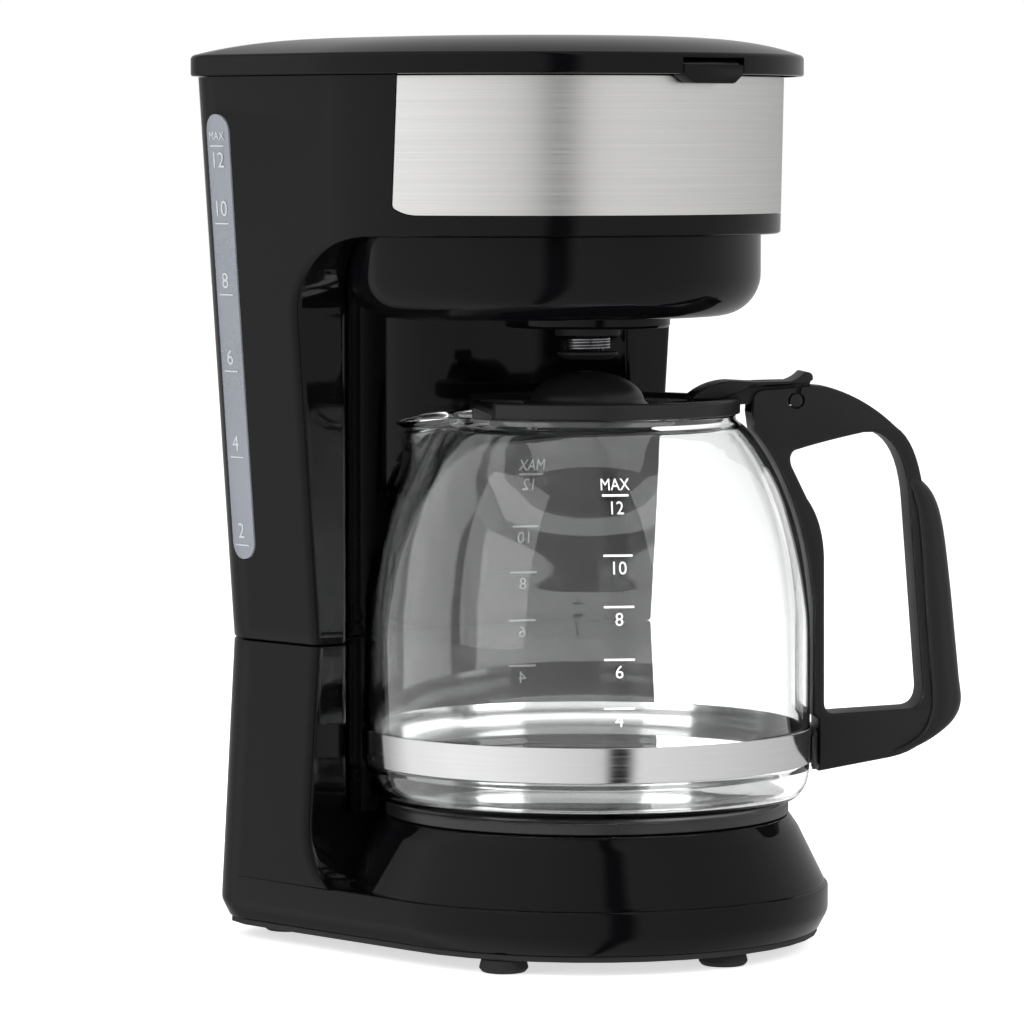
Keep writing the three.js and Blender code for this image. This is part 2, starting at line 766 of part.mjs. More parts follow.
// From the heater's right-hand tail up the tower to the arm over the basket.
function riserTube() {
  const { x, y, radius } = riser;
  const top = armLow - gap;
  const path = new THREE.CatmullRomCurve3([
    vector(heater.tailX, heater.tailY + 2 * gap, tailZ),
    vector(heater.tailX, heater.tailY + 4, tailZ),
    vector(heater.tailX + 1, heater.tailY + 15, tailZ),
    vector(34, 91, tailZ + 4),
    vector(56, 92, tailZ + 22),
    vector(x - 2, y + 16, seamZ - 30),
    vector(x, y + 3, seamZ - 8),
    vector(x, y, seamZ + 12),
    vector(x, y, mix(seamZ, top, 0.5)),
    vector(x, y, top),
  ], false, "centripetal");
  return cut(bar(path, radius, 20, 8), bar(path, riser.bore, 20, 4));
}

const armLow = deckTray.bottom + deckTray.thickness + 4.6;
const armHeight = 5;

function sprayArm() {
  const { x, y } = riser;
  const low = armLow;
  const high = low + armHeight;
  const length = Math.hypot(x, y);
  const turn = Math.atan2(y, x);
  const beam = box([0, -5, low], [length, 5, high]).rotate([0, 0, THREE.MathUtils.radToDeg(turn)]);
  const elbow = disc(7, low, high, [x, y], 20);
  const hub = disc(16, low, high, [0, 0], 28);
  const way = box([0, -3, low + 1.4], [length, 3, high - 1.2]).rotate([0, 0, THREE.MathUtils.radToDeg(turn)]);
  const drop = disc(11, low - 1, low + 1.6, [0, 0], 20);
  const inletHole = disc(riser.bore, low - 1, low + 2, [x, y], 10);
  return cut(join(beam, elbow, hub), way, drop, inletHole);
}

function showerPlate() {
  const rose = turned([
    [0, armLow - 2], [15, armLow - 2], [15, armLow - gap],
    [9.5, armLow - gap], [9.5, armLow + 1], [0, armLow + 1],
  ], 24);
  const ways = [];
  for (let i = 0; i < 6; i++) {
    const angle = (i * Math.PI) / 3;
    ways.push(disc(1, armLow - 3, armLow + 2, [6 * Math.cos(angle), 6 * Math.sin(angle)], 6));
  }
  return cut(rose, ...ways);
}

function topDeck() {
  const { bottom, thickness, basketHole, fillHalfWidth, fillFrontY } = deckTray;
  const high = bottom + thickness;
  const inset = wall + gap;
  let tray = upperPlan(inset).intersect(slab(bottom, high));
  tray = cut(tray, windowHole(1.6 + gap));
  const rearEdge = tank.rearY - 4;
  tray = cut(tray, disc(basketHole, bottom - 1, high + 1, [0, 0], 40));
  const fill = box([-fillHalfWidth, fillFrontY, bottom - 1], [fillHalfWidth, rearEdge, high + 1]);
  const keep = disc(basketHole + 12, bottom - 2, high + 2, [0, 0], 40);
  tray = cut(tray, cut(fill, keep));
  return cut(tray, disc(riser.radius + gap, bottom - 1, high + 1, [riser.x, riser.y], 16));
}

// ---------------------------------------------------------------- brewing

// The bowl under the head, where a round front meets the carafe's round bay.
function bowlBody(inset, low, high) {
  const { radius, bottom, round } = bowl;
  const profile = (r) => {
    const points = [[0, low]];
    const steps = 3;
    for (let i = 0; i <= steps; i++) {
      const turn = (Math.PI / 2) * (i / steps);
      const run = round - inset;
      points.push([r - run + run * Math.sin(turn), low + run * (1 - Math.cos(turn))]);
    }
    points.push([r, high], [0, high]);
    return points;
  };
  const front = turned(profile(radius - inset), 40, [0, head.centreY]);
  return front.intersect(turned(profile(bay.radius - gap - inset), 40));
}

function headBowl() {
  const { bottom, wall: skin, outletRadius } = bowl;
  const high = head.lip - gap;
  let shell = cut(bowlBody(0, bottom, high), bowlBody(skin, bottom + skin, high + 1));
  shell = join(shell, disc(outletRadius - 5, bottom - 3.5, bottom + 1, [0, 0], 36));
  return cut(shell, disc(valve.seatRadius + gap, bottom - 5, bottom + 4, [0, 0], 28));
}

function basketProfile(inset, low, high) {
  const { topRadius, footRadius } = basket;
  return [
    [0, low], [footRadius - inset - 6, low], [footRadius - inset, low + 6], [topRadius - inset, high], [0, high],
  ];
}

const deckHigh = deckTray.bottom + deckTray.thickness;

function brewBasket() {
  const { rimRadius, flange, bottom, wall: skin, outletRadius } = basket;
  const rimLow = deckHigh + gap;
  const rimHigh = rimLow + flange;
  let cup = turned(basketProfile(0, bottom, rimHigh), 32);
  cup = join(cup, turned([[0, rimLow], [rimRadius, rimLow], [rimRadius, rimHigh], [0, rimHigh]], 32));
  cup = cut(cup, turned(basketProfile(skin, bottom + skin, rimHigh + 1), 32));
  cup = join(cup, disc(outletRadius, bottom - 4, bottom + 1, [0, 0], 24));
  return cut(cup, disc(valve.bore + 1.4, bottom - 6, bottom + 4, [0, 0], 20));
}

// The radius of the basket's inside at a height.
function basketRoom(z) {
  const up = share(z, basket.bottom + 6, deckHigh + gap + basket.flange);
  return mix(basket.footRadius, basket.topRadius, up) - basket.wall;
}

function meshFilter() {
  const { clear, bottom, wall: skin, handleWidth } = filter;
  const high = deckHigh - 4;
  const at = (z) => basketRoom(z) - clear;
  const profile = (inset, low, top) => [
    [0, low], [at(low) - inset - 4, low], [at(low + 4) - inset, low + 4], [at(high) - inset, top], [0, top],
  ];
  let cup = cut(turned(profile(0, bottom, high), 28), turned(profile(skin, bottom + skin, high + 1), 28));
  const rim = turned([
    [at(high) - 2.4, high - 2], [at(high - 2) + 0.3, high - 2],
    [at(high) + 0.3, high], [at(high) - 2.4, high],
  ], 28);
  cup = join(cup, rim);
  const bridge = box([1 - at(high), -handleWidth / 2, high - 2], [at(high) - 1, handleWidth / 2, high]);
  return join(cup, cut(bridge, box([-30, -3, high - 3], [30, 3, high + 1])));
}

function valveSeat() {
  const { seatRadius, bore } = valve;
  const high = basket.bottom - 4 - gap;
  const low = bowl.bottom - 6.5;
  return turned([
    [bore, low], [seatRadius, low], [seatRadius, high], [bore, high],
  ], 28);
}

// The plunger hangs through the seat; the carafe's lid pushes it up against its spring.
function valvePlunger() {
  const { plungerRadius, cupRadius, bottom } = valve;
  const stemHigh = basket.bottom + 2.2;
  return turned([
    [0, bottom], [cupRadius - 2.4, bottom], [cupRadius, bottom + 1.6], [cupRadius, bottom + 2.6],
    [plungerRadius, bottom + 2.6], [plungerRadius, stemHigh], [0, stemHigh],
  ], 24);
}

function valveSpring() {
  const { coilRadius, wire, turns } = springWire;
  const low = valve.bottom + 2.6 + wire + gap;
  const high = bowl.bottom - 6.5 - wire - gap;
  const points = [];
  const steps = turns * 8;
  for (let i = 0; i <= steps; i++) {
    const angle = (2 * Math.PI * turns * i) / steps;
    const z = mix(low, high, i / steps);
    points.push(vector(coilRadius * Math.cos(angle), coilRadius * Math.sin(angle), z));
  }
  return bar(new THREE.CatmullRomCurve3(points), wire, steps, 4);
}

// ---------------------------------------------------------------- lid

function lidRing(z, inset) {
  return planRing({
    frontRadius: lid.radius - inset,
    centreY: head.centreY,
    halfWidth: lid.rearHalfWidth - inset,
    rearY: lid.rearY - inset,
    corner: Math.max(2, tower.cornerRadius - inset * 0.8),
    z,
  });
}

const lidLow = head.top + gap;
const lidRim = lidLow + lid.rim;

function lidShell() {
  const { crown, skin, tabWidth } = lid;
  const outer = [
    lidRing(lidLow, 0.4), lidRing(lidLow + 0.6, 0), lidRing(lidRim - 1.4, 0), lidRing(lidRim, 1.4),
    lidRing(lidRim + crown * 0.45, 9), lidRing(lidRim + crown * 0.8, 22), lidRing(lidRim + crown, 60),
  ];
  const inner = [
    lidRing(lidLow - 1, skin), lidRing(lidRim - skin - 0.4, skin),
    lidRing(lidRim - skin + crown * 0.45, 12), lidRing(lidRim - skin + crown * 0.8, 50),
  ];
  let shell = cut(lofted(outer), lofted(inner));
  const notch = tabWidth / 2 + gap;
  shell = cut(shell, box([-notch, -90, lidLow - 1], [notch, head.centreY - lid.radius + 6.4, lidRim + 4]));
  const far = lid.hingeX + lid.knuckleLength / 2 + gap;
  for (const side of [-1, 1]) {
    const start = side > 0 ? far : -far - lid.knuckleLength;
    const lug = knuckle(
      start, start + lid.knuckleLength, [lid.rearY - 1.5, lidLow + 0.3], [lid.hingeY, lidLow + 4.4]);
    const pinWay = alongX(lid.hingeY, hingeZ, lid.pinRadius + gap, start - 1, start + lid.knuckleLength + 1);
    shell = join(shell, cut(joinBarrel(lug, start), pinWay));
  }
  return shell;
}

// The lid's barrel reaches up to its arm.
function joinBarrel(lug, start) {
  const side = lid.barrelRadius;
  const web = box([start, lid.hingeY - side, hingeZ], [start + lid.knuckleLength, lid.hingeY, lidLow + 4.4]);
  return join(lug, web);
}

function lidTab() {
  const { tabWidth, tabDrop, radius } = lid;
  const front = head.centreY - radius;
  const half = tabWidth / 2;
  const body = box([-half, front - 0.2, lidLow - tabDrop], [half, front + 5.6, lidRim - 1.4]);
  const under = lidRim - lid.skin;
  const tongue = box([-half, front + 3, under - 3.4], [half, front + 15, under - 0.9]);
  const bevel = across([
    [front - 1, lidLow - tabDrop - 1], [front + 3, lidLow - tabDrop - 1], [front - 1, lidLow - tabDrop + 2],
  ], -half - 1, half + 1);
  return cut(join(body, tongue), bevel);
}

function lidLiner() {
  const ring = (z, inset) => lidRing(z, inset + 9.4);
  const high = lidRim - lid.skin - 1.6;
  const low = armLow + armHeight + 1.2;
  const rings = [ring(low, 3), ring(high, 0)];
  const room = [ring(low - 1, 5), ring(high - 2, 2)];
  const keepFront = box([-120, head.centreY - lid.radius + 17, low - 2], [120, 100, high + 2]);
  return cut(lofted(rings), lofted(room)).intersect(keepFront);
}

function hingePin(side) {
  const from = lid.hingeX - lid.knuckleLength / 2 + 1;
  const to = lid.hingeX + lid.knuckleLength * 1.5 - 1;
  return side > 0
    ? alongX(lid.hingeY, hingeZ, lid.pinRadius, from, to)
    : alongX(lid.hingeY, hingeZ, lid.pinRadius, -to, -from);
}

// ---------------------------------------------------------------- carafe, handle along +X

// The glass from base to rim: [radius, height] of the outside.
const glassSide = () => {
  const { outerRadius: r, bottom: z, rim, neckRadius: n } = carafe;
  return [
    [r - 22, z], [r - 7, z + 0.6], [r - 2.6, z + 3.4], [r - 0.4, z + 9], [r, z + 20], [r, z + 56],
    [r - 0.7, z + 70], [r - 3.4, z + 89], [r - 8, z + 105], [r - 13.6, z + 117.5], [r - 18.6, z + 125.6],
    [n + 3.4, rim - 4.4], [n + 0.6, rim - 2.2], [n, rim - 0.4],
  ];
};

function carafeGlass() {
  const outline = new THREE.SplineCurve(glassSide().map(([r, z]) => new THREE.Vector2(r, z)));
  const samples = outline.getPoints(10);
  const around = 40;
  const { rim, wall: skin, spoutReach, spoutHalfAngle, bottom } = carafe;
  const reach = (z, angle) => {
    const off = Math.abs(Math.atan2(Math.sin(angle - Math.PI), Math.cos(angle - Math.PI)));
    const open = Math.max(0, 1 - off / rad(spoutHalfAngle));
    const high = Math.max(0, 1 - (rim - z) / 24);
    return spoutReach * open * open * (3 - 2 * open) * high * high;
  };
  const ringAt = (radius, z, inset) => {
    const ring = [];
    for (let i = 0; i < around; i++) {
      const angle = (2 * Math.PI * i) / around;
      const r = radius - inset + reach(z, angle);
      ring.push(vector(r * Math.cos(angle), r * Math.sin(angle), z));
    }
    return ring;
  };
  const outer = samples.map((p) => ringAt(p.x, p.y, 0));
  outer.push(ringAt(carafe.neckRadius + 0.2, rim, 0));
  const inner = [ringAt(samples[0].x - 6, bottom + skin, 0)];
  for (const p of samples) if (p.y > bottom + skin + 1) inner.push(ringAt(p.x, p.y, skin));
  inner.push(ringAt(carafe.neckRadius, rim + 1, skin));
  return cut(lofted(outer), lofted(inner));
}

function carafeBand() {
  const inner = carafe.outerRadius + gap;
  const outer = inner + band.thickness;
  return turned([
    [inner, band.bottom], [outer, band.bottom], [outer, band.top], [inner, band.top],
  ], 48);
}

// Outlines in the upright plane through the handle: u from the carafe's axis, v up.
function upright(shape, halfWidth, curveSegments = 6) {
  const made = new THREE.ExtrudeGeometry(shape, { depth: 2 * halfWidth, bevelEnabled: false, curveSegments });
  made.applyMatrix4(new THREE.Matrix4().makeBasis(vector(1, 0, 0), vector(0, 0, 1), vector(0, -1, 0)));
  return solid(made.translate(0, halfWidth, 0));
}

function smooth(points) {
  const shape = new THREE.Shape();
  shape.moveTo(...points[0]);
  shape.splineThru(points.slice(1).map(([u, v]) => new THREE.Vector2(u, v)));
  return shape;
}

// How far the inside of the handle strap stands off the axis at a height.
const strapInner = () => carafe.outerRadius + gap + band.thickness + gap + 1.8;

function handleBody() {
  const inner = strapInner();
  const strap = carafe.outerRadius + 0.6;
  const { pivotZ } = handle;
  const shape = new THREE.Shape();
  shape.moveTo(inner, 60.5);
  shape.lineTo(107, 65);
  shape.quadraticCurveTo(124.5, 68.5, 124, 84);
  shape.lineTo(119.5, 150);
  shape.quadraticCurveTo(118, 176, 108.8, 182);
  shape.quadraticCurveTo(98, 192.5, 84, 196.4);
  shape.lineTo(79.5, 197);
  shape.lineTo(78.2, pivotZ - 2.5);
  shape.lineTo(67.6, pivotZ - 2.5);
  shape.lineTo(56.5, 187.6);
  shape.lineTo(56.5, 182);
  shape.lineTo(strap - 16, 168);
  shape.quadraticCurveTo(strap - 2.5, 139, strap, 118);
  shape.lineTo(strap, band.top + 3);
  shape.lineTo(inner, band.top + 1);
  const hole = new THREE.Path();
  hole.moveTo(strap + 4.4, 84.5);
  hole.quadraticCurveTo(strap + 4.8, 80.9, strap + 8, 80.9);
  hole.lineTo(113.5, 82.3);
  hole.quadraticCurveTo(118.8, 83, 118.6, 90);
  hole.lineTo(113.6, 155);
  hole.quadraticCurveTo(112, 177.5, 101, 180.3);
  hole.lineTo(97, 180.2);
  hole.quadraticCurveTo(strap + 3, 177, strap - 8.5, 173.6);
  hole.quadraticCurveTo(strap - 11.2, 172.9, strap - 9.5, 169.5);
  hole.lineTo(strap - 3, 157);
  hole.quadraticCurveTo(strap + 3.8, 149, strap + 4.2, 136);
  shape.holes.push(hole);
  const screwRoom = saddleScrewAt(gap);
  return cut(upright(shape, handle.width / 2), glassRoom(gap + 0.6), screwRoom);
}

// The space that the glass and its band take, a little larger than both.
function glassRoom(clear) {
  const side = new THREE.SplineCurve(glassSide().map(([r, z]) => new THREE.Vector2(r, z)));
  const profile = [[0, carafe.bottom - 2]];
  for (const p of side.getPoints(24)) profile.push([p.x + clear, p.y]);
  profile.push([carafe.neckRadius + clear, carafe.rim + clear], [0, carafe.rim + clear]);
  const bandRoom = disc(
    carafe.outerRadius + gap + band.thickness + clear, band.bottom - gap, band.top + gap, [0, 0], 56);
  return join(turned(profile, 48), bandRoom);
}

function gripPad() {
  const shape = new THREE.Shape();
  shape.moveTo(125, 86);
  shape.quadraticCurveTo(125.6, 78, 122.5, 74.6);
  shape.quadraticCurveTo(129, 74.2, 132.2, 79);
  shape.quadraticCurveTo(134.6, 83, 133.4, 93);
  shape.lineTo(126, 150);
  shape.quadraticCurveTo(122.5, 161, 115.4, 166);
  shape.quadraticCurveTo(119.6, 160, 120.6, 149);
  return upright(shape, handle.gripWidth / 2).subtract(handleBodyRoom());
}

// A slightly larger handle, so that the pad wraps it with a fine gap.
function handleBodyRoom() {
  const shape = new THREE.Shape();
  shape.moveTo(90, 62);
  shape.lineTo(107, 65);
  shape.quadraticCurveTo(124.8, 68.3, 124.3, 84);
  shape.lineTo(119.8, 150);
  shape.quadraticCurveTo(118.3, 176, 109, 182.3);
  shape.lineTo(90, 185);
  return upright(shape, 60);
}

function handleSaddle() {
  const low = 62.6;
  const high = 75.4;
  const inner = carafe.outerRadius + gap + band.thickness + gap;
  const ring = turned([
    [inner, low], [inner + 1.4, low], [inner + 1.4, high], [inner, high],
  ], 64);
  const wedge = new THREE.Shape([
    new THREE.Vector2(0, 0),
    new THREE.Vector2(120, -120 * Math.tan(rad(17))),
    new THREE.Vector2(120, 120 * Math.tan(rad(17))),
  ]);
  return ring.intersect(raised(wedge, low - 1, high + 1));
}

// The screw through the strap, or with a clearance the way it goes in by.
function saddleScrewAt(clear) {
  const inner = strapInner();
  const headFrom = clear ? 6 - clear : 6;
  const headTo = clear ? 60 : 8;
  const made = turned([
    [0, -clear * 8], [1.6 + clear, -clear * 8], [1.6 + clear, headFrom], [3.2 + clear, headFrom],
    [3.2 + clear, headTo], [0, headTo],
  ], 12);
  return made.rotate([0, 90, 0]).translate([inner, 0, 69]);
}

// ---------------------------------------------------------------- carafe lid

function lidDisc() {
  const { radius, bottom, top, domeRadius, domeTop, spoutCut } = carafeLid;
  const plugRadius = carafe.neckRadius - carafe.wall - 0.8;
  const outer = turned([
    [0, bottom - 4],
    [plugRadius - 2, bottom - 4],
    [plugRadius - 1.2, bottom],
    [radius, bottom],
    [radius, top - 1.2],
    [radius - 1.2, top],
    [radius - 5, top],
    [radius - 7, top - 2.4],
    [domeRadius + 8, top - 2.4],
    [domeRadius, top - 1.4],
    [domeRadius - 1.4, domeTop - 4],
    [domeRadius - 5, domeTop - 1.2],
    [domeRadius * 0.5, domeTop],
    [0, domeTop],
  ], 28);
  const under = turned([
    [0, bottom - 5],
    [plugRadius - 4, bottom - 5],
    [plugRadius - 4, top - 4.4],
    [domeRadius - 2, top - 4.4],
    [domeRadius - 4, domeTop - 4.6],
    [0, domeTop - 2.4],
  ], 20);
  const drip = disc(3, 0, domeTop + 1, [0, 0], 12);
  const brewWays = [];
  for (let i = 0; i < 6; i++) {
    const way = box([domeRadius + 3, -2, bottom - 6], [domeRadius + 14, 2, top + 1]);
    brewWays.push(way.rotate([0, 0, i * 60 + 30]));
  }
  const { pivotRadius, pivotZ, pinRadius } = handle;
  const arm = new THREE.Shape();
  arm.moveTo(36, top - 3);
  arm.lineTo(36, top + 1.4);
  arm.quadraticCurveTo(42, top + 6, 50, top + 6);
  arm.lineTo(64, top + 4.6);
  arm.lineTo(70, top + 4.8);
  arm.quadraticCurveTo(74, top + 5.4, 76.4, top + 8.8);
  arm.lineTo(78.8, top + 8.4);
  arm.quadraticCurveTo(77.6, top + 2, pivotRadius + 3.4, pivotZ - 1);
  arm.lineTo(pivotRadius + 1.6, pivotZ - 1.9);
  arm.lineTo(pivotRadius - 4, pivotZ - 1.9);
  arm.lineTo(56, top - 3.4);
  const lever = upright(arm, 6.4);
  const pinWay = alongY(pivotRadius, pivotZ, pinRadius + gap, 10);
  const pourWay = box([-2 * radius, -radius, bottom - 6], [-spoutCut, radius, domeTop]);
  return cut(join(cut(outer, under, drip, pourWay, ...brewWays), lever), pinWay);
}

function alongY(x, z, radius, halfLength, sides = 14) {
  const made = new THREE.CylinderGeometry(radius, radius, 2 * halfLength, sides);
  return solid(made.translate(x, 0, z));
}

// ---------------------------------------------------------------- assembly

const finishes = {
  glossBlack: { color: 0x0b0b0d, roughness: 0.14, metalness: 0 },
  mattBlack: { color: 0x161618, roughness: 0.55, metalness: 0 },
  steel: { color: 0xc9c7c4, roughness: 0.32, metalness: 1 },
  chrome: { color: 0xd9dadc, roughness: 0.1, metalness: 1 },
  zinc: { color: 0x9fa3a8, roughness: 0.4, metalness: 1 },
  aluminium: { color: 0xb9bbbd, roughness: 0.45, metalness: 1 },
  enamel: { color: 0x121213, roughness: 0.4, metalness: 0.2 },
  glass: { color: 0xf2f6f7, roughness: 0.02, metalness: 0, transparent: true, opacity: 0.25 },
  clear: { color: 0xa5aab2, roughness: 0.3, metalness: 0, transparent: true, opacity: 0.7 },
  rubber: { color: 0x141414, roughness: 0.85, metalness: 0 },
  silicone: { color: 0xd8d5cc, roughness: 0.6, metalness: 0 },
  ceramic: { color: 0xe6e1d6, roughness: 0.5, metalness: 0 },
  brass: { color: 0xb58e45, roughness: 0.35, metalness: 1 },
};

function piece(name, body, finish, place = [0, 0, 0]) {
  const mesh = new THREE.Mesh(geometryOf(body), new THREE.MeshStandardMaterial(finishes[finish]));
  mesh.name = name;
  mesh.position.set(...place);
  return mesh;
}

const machine = new THREE.Group();
machine.add(
  piece("upper_housing", upperHousing(), "glossBlack"),
  piece("lower_housing", lowerHousing(), "glossBlack"),
  piece("base_cover", baseCover(), "mattBlack"),
  piece("steel_band", steelBand(), "steel"),
  piece("water_window", waterWindow(), "clear"),
  piece("head_bowl", headBowl(), "glossBlack"),
  piece("top_deck", topDeck(), "mattBlack"),
  piece("reservoir", reservoir(), "clear"),
  piece("tank_strainer", tankFilter(), "silicone"),
  piece("cold_hose", coldHose(), "silicone"),
  piece("riser_tube", riserTube(), "silicone"),
  piece("spray_arm", sprayArm(), "mattBlack"),
  piece("shower_plate", showerPlate(), "mattBlack"),
  piece("warming_plate", warmingPlate(), "enamel"),
  piece("plate_seal", plateSeal(), "rubber"),
  piece("heating_element", heatingElement(), "aluminium"),
  piece("heater_clamp", heaterClamp(), "zinc"),
  piece("clamp_screw", clampScrew(), "zinc"),
  piece("thermostat", thermostat(), "ceramic"),
  piece("thermal_fuse", thermalFuse(), "brass"),
  piece("terminal_block", terminalBlock(), "ceramic"),
  piece("switch_frame", switchFrame(), "mattBlack"),
  piece("power_rocker", powerRocker(), "glossBlack"),
  piece("cord_inlet", cordInlet(), "rubber"),
  piece("brew_basket", brewBasket(), "mattBlack"),
  piece("mesh_filter", meshFilter(), "brass"),
  piece("valve_seat", valveSeat(), "mattBlack"),
  piece("valve_plunger", valvePlunger(), "mattBlack"),
  piece("valve_spring", valveSpring(), "zinc"),
  piece("lid_shell", lidShell(), "glossBlack"),
  piece("lid_tab", lidTab(), "glossBlack"),
  piece("lid_liner", lidLiner(), "mattBlack"),
  piece("hinge_pin_left", hingePin(-1), "zinc"),
  piece("hinge_pin_right", hingePin(1), "zinc"),
);
footSpots.forEach(([x, y], i) => machine.add(piece(`foot_${i + 1}`, foot(), "rubber", [x, y, 0])));
bossSpots.forEach(([x, y], i) => machine.add(piece(`cover_screw_${i + 1}`, coverScrew(), "zinc", [x, y, 0])));

const jug = new THREE.Group();
jug.rotation.z = rad(carafe.turn - 90);
jug.add(
  piece("carafe_glass", carafeGlass(), "glass"),
  piece("carafe_band", carafeBand(), "chrome"),
  piece("handle_saddle", handleSaddle(), "mattBlack"),
  piece("handle_body", handleBody(), "glossBlack"),
  piece("grip_pad", gripPad(), "mattBlack"),
  piece("saddle_screw", saddleScrewAt(0), "zinc"),
  piece("carafe_lid", lidDisc(), "glossBlack"),
  piece("lid_pin", alongY(handle.pivotRadius, handle.pivotZ, handle.pinRadius, 8.2), "zinc"),
);
machine.add(jug);

const coffeeMaker = new THREE.Group();
coffeeMaker.add(machine);
coffeeMaker.updateMatrixWorld(true);
const footprint = new THREE.Box3().setFromObject(machine, true);
machine.position.set(
  -(footprint.min.x + footprint.max.x) / 2, -(footprint.min.y + footprint.max.y) / 2, -footprint.min.z);

export default coffeeMaker;
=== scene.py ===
import json
import math

import bmesh
import bpy
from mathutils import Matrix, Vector


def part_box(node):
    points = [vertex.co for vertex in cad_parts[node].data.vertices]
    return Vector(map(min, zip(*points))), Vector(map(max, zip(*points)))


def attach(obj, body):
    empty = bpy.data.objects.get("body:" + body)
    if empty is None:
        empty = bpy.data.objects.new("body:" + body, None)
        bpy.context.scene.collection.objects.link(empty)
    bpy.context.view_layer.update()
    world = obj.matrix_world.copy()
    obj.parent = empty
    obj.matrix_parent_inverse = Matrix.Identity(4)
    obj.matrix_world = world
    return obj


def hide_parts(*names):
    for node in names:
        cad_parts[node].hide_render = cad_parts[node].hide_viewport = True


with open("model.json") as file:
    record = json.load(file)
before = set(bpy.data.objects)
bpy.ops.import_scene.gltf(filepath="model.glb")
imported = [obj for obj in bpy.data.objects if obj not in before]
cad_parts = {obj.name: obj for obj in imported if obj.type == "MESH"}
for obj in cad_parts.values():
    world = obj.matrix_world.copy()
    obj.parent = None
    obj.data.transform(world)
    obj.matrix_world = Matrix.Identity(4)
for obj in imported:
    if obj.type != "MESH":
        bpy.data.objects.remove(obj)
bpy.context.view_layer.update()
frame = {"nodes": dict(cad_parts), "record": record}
nodes = frame["nodes"]
seatLow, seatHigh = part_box("valve_seat")
axisX, axisY = (seatLow.x + seatHigh.x) / 2, (seatLow.y + seatHigh.y) / 2
mm = 0.001
gap = 0.3
print("frame loaded:", len(nodes), "nodes")


def at(x, y, z):
    # millimetres from the carafe's axis, as a place in the frame
    return Vector((axisX + x * mm, axisY + y * mm, z * mm))


def mix(a, b, share):
    return a + (b - a) * share


def ease(low, high, value):
    share = min(1, max(0, (value - low) / (high - low)))
    return share * share * (3 - 2 * share)


def steps(low, high, count):
    return [mix(low, high, i / count) for i in range(count + 1)]


# outlines

def bend(start, corner, end, count=6):
    # a soft corner between two points
    return [tuple((1 - t) ** 2 * a + 2 * t * (1 - t) * b + t * t * c for a, b, c in zip(start, corner, end))
            for t in steps(0, 1, count)]


def rounded(corners, count=5, closed=True):
    # (a, b) corners, with a radius as third number where one is rounded
    made = []
    last = len(corners) - 1
    for i, corner in enumerate(corners):
        here = Vector(corner[:2])
        radius = corner[2] if len(corner) > 2 else 0
        if not radius or (not closed and i in (0, last)):
            made.append(tuple(here))
            continue
        back = Vector(corners[i - 1][:2]) - here
        on = Vector(corners[(i + 1) % len(corners)][:2]) - here
        half = back.angle(on) / 2
        reach = min(radius / math.tan(half), back.length * 0.49, on.length * 0.49)
        radius = reach * math.tan(half)
        back.normalize()
        on.normalize()
        middle = here + (back + on).normalized() * (radius / math.sin(half))
        start, end = here + back * reach - middle, here + on * reach - middle
        turn = math.pi - 2 * half
        for t in steps(0, 1, count):
            before, after = math.sin((1 - t) * turn), math.sin(t * turn)
            made.append(tuple(middle + start * (before / math.sin(turn)) + end * (after / math.sin(turn))))
    return made


def through(points, each=8):
    # a smooth line through the points
    made = []
    last = len(points) - 1
    for i in range(last):
        p = [points[max(0, i - 1)], points[i], points[i + 1], points[min(last, i + 2)]]
        for k in range(each):
            t = k / each
            made.append(tuple(0.5 * (
                2 * b + (c - a) * t + (2 * a - 5 * b + 4 * c - d) * t * t + (3 * b - a - 3 * c + d) * t ** 3)
                for a, b, c, d in zip(*p)))
    made.append(tuple(points[-1]))
    return made


def evenly(points, count, trimStart=0, trimEnd=0):
    # the same line with its points spaced alike, shortened at its ends
    lengths = [0]
    for a, b in zip(points, points[1:]):
        lengths.append(lengths[-1] + math.dist(a, b))
    made, k = [], 0
    for want in steps(trimStart, lengths[-1] - trimEnd, count):
        while k < len(points) - 2 and lengths[k + 1] < want:
            k += 1
        t = (want - lengths[k]) / max(1e-9, lengths[k + 1] - lengths[k])
        made.append(tuple(mix(a, b, t) for a, b in zip(points[k], points[k + 1])))
    return made


# meshes

def skin(rings, loop=False, caps=True):
    # rings of equally many points joined into one skin
    mesh = bmesh.new()
    rows = [[mesh.verts.new(p) for p in ring] for ring in rings]
    pairs = list(zip(rows, rows[1:])) + ([(rows[-1], rows[0])] if loop else [])
    for low, high in pairs:
        for i in range(len(low)):
            j = (i + 1) % len(low)
            mesh.faces.new((low[i], low[j], high[j], high[i]))
    if caps and not loop:
        mesh.faces.new(rows[0][::-1])
        mesh.faces.new(rows[-1])
    return mesh


def circle(count):
    # angles all the way round
    return [2 * math.pi * k / count for k in range(count)]


def turned(profile, sides=160, place=at):
    # a [radius, height] outline turned about the upright; it starts and ends on the axis or is a loop
    rings = []
    for radius, height in profile:
        rings.append([place(radius * math.cos(a), radius * math.sin(a), height) for a in circle(sides)])
    solid = profile[0][0] == 0
    return skin(rings, loop=not solid, caps=False)


def tube(path, radius, sides):
    # a round bar along a line of points
    points = [Vector(p) for p in path]
    rings = []
    across = None
    for i, p in enumerate(points):
        along = (points[min(i + 1, len(points) - 1)] - points[max(0, i - 1)]).normalized()
        if across is None:
            across = along.orthogonal().normalized()
        across = (across - along * across.dot(along)).normalized()
        other = along.cross(across)
        rings.append([at(*(p + across * radius * math.cos(a) + other * radius * math.sin(a)))
                      for a in circle(sides)])
    return skin(rings)


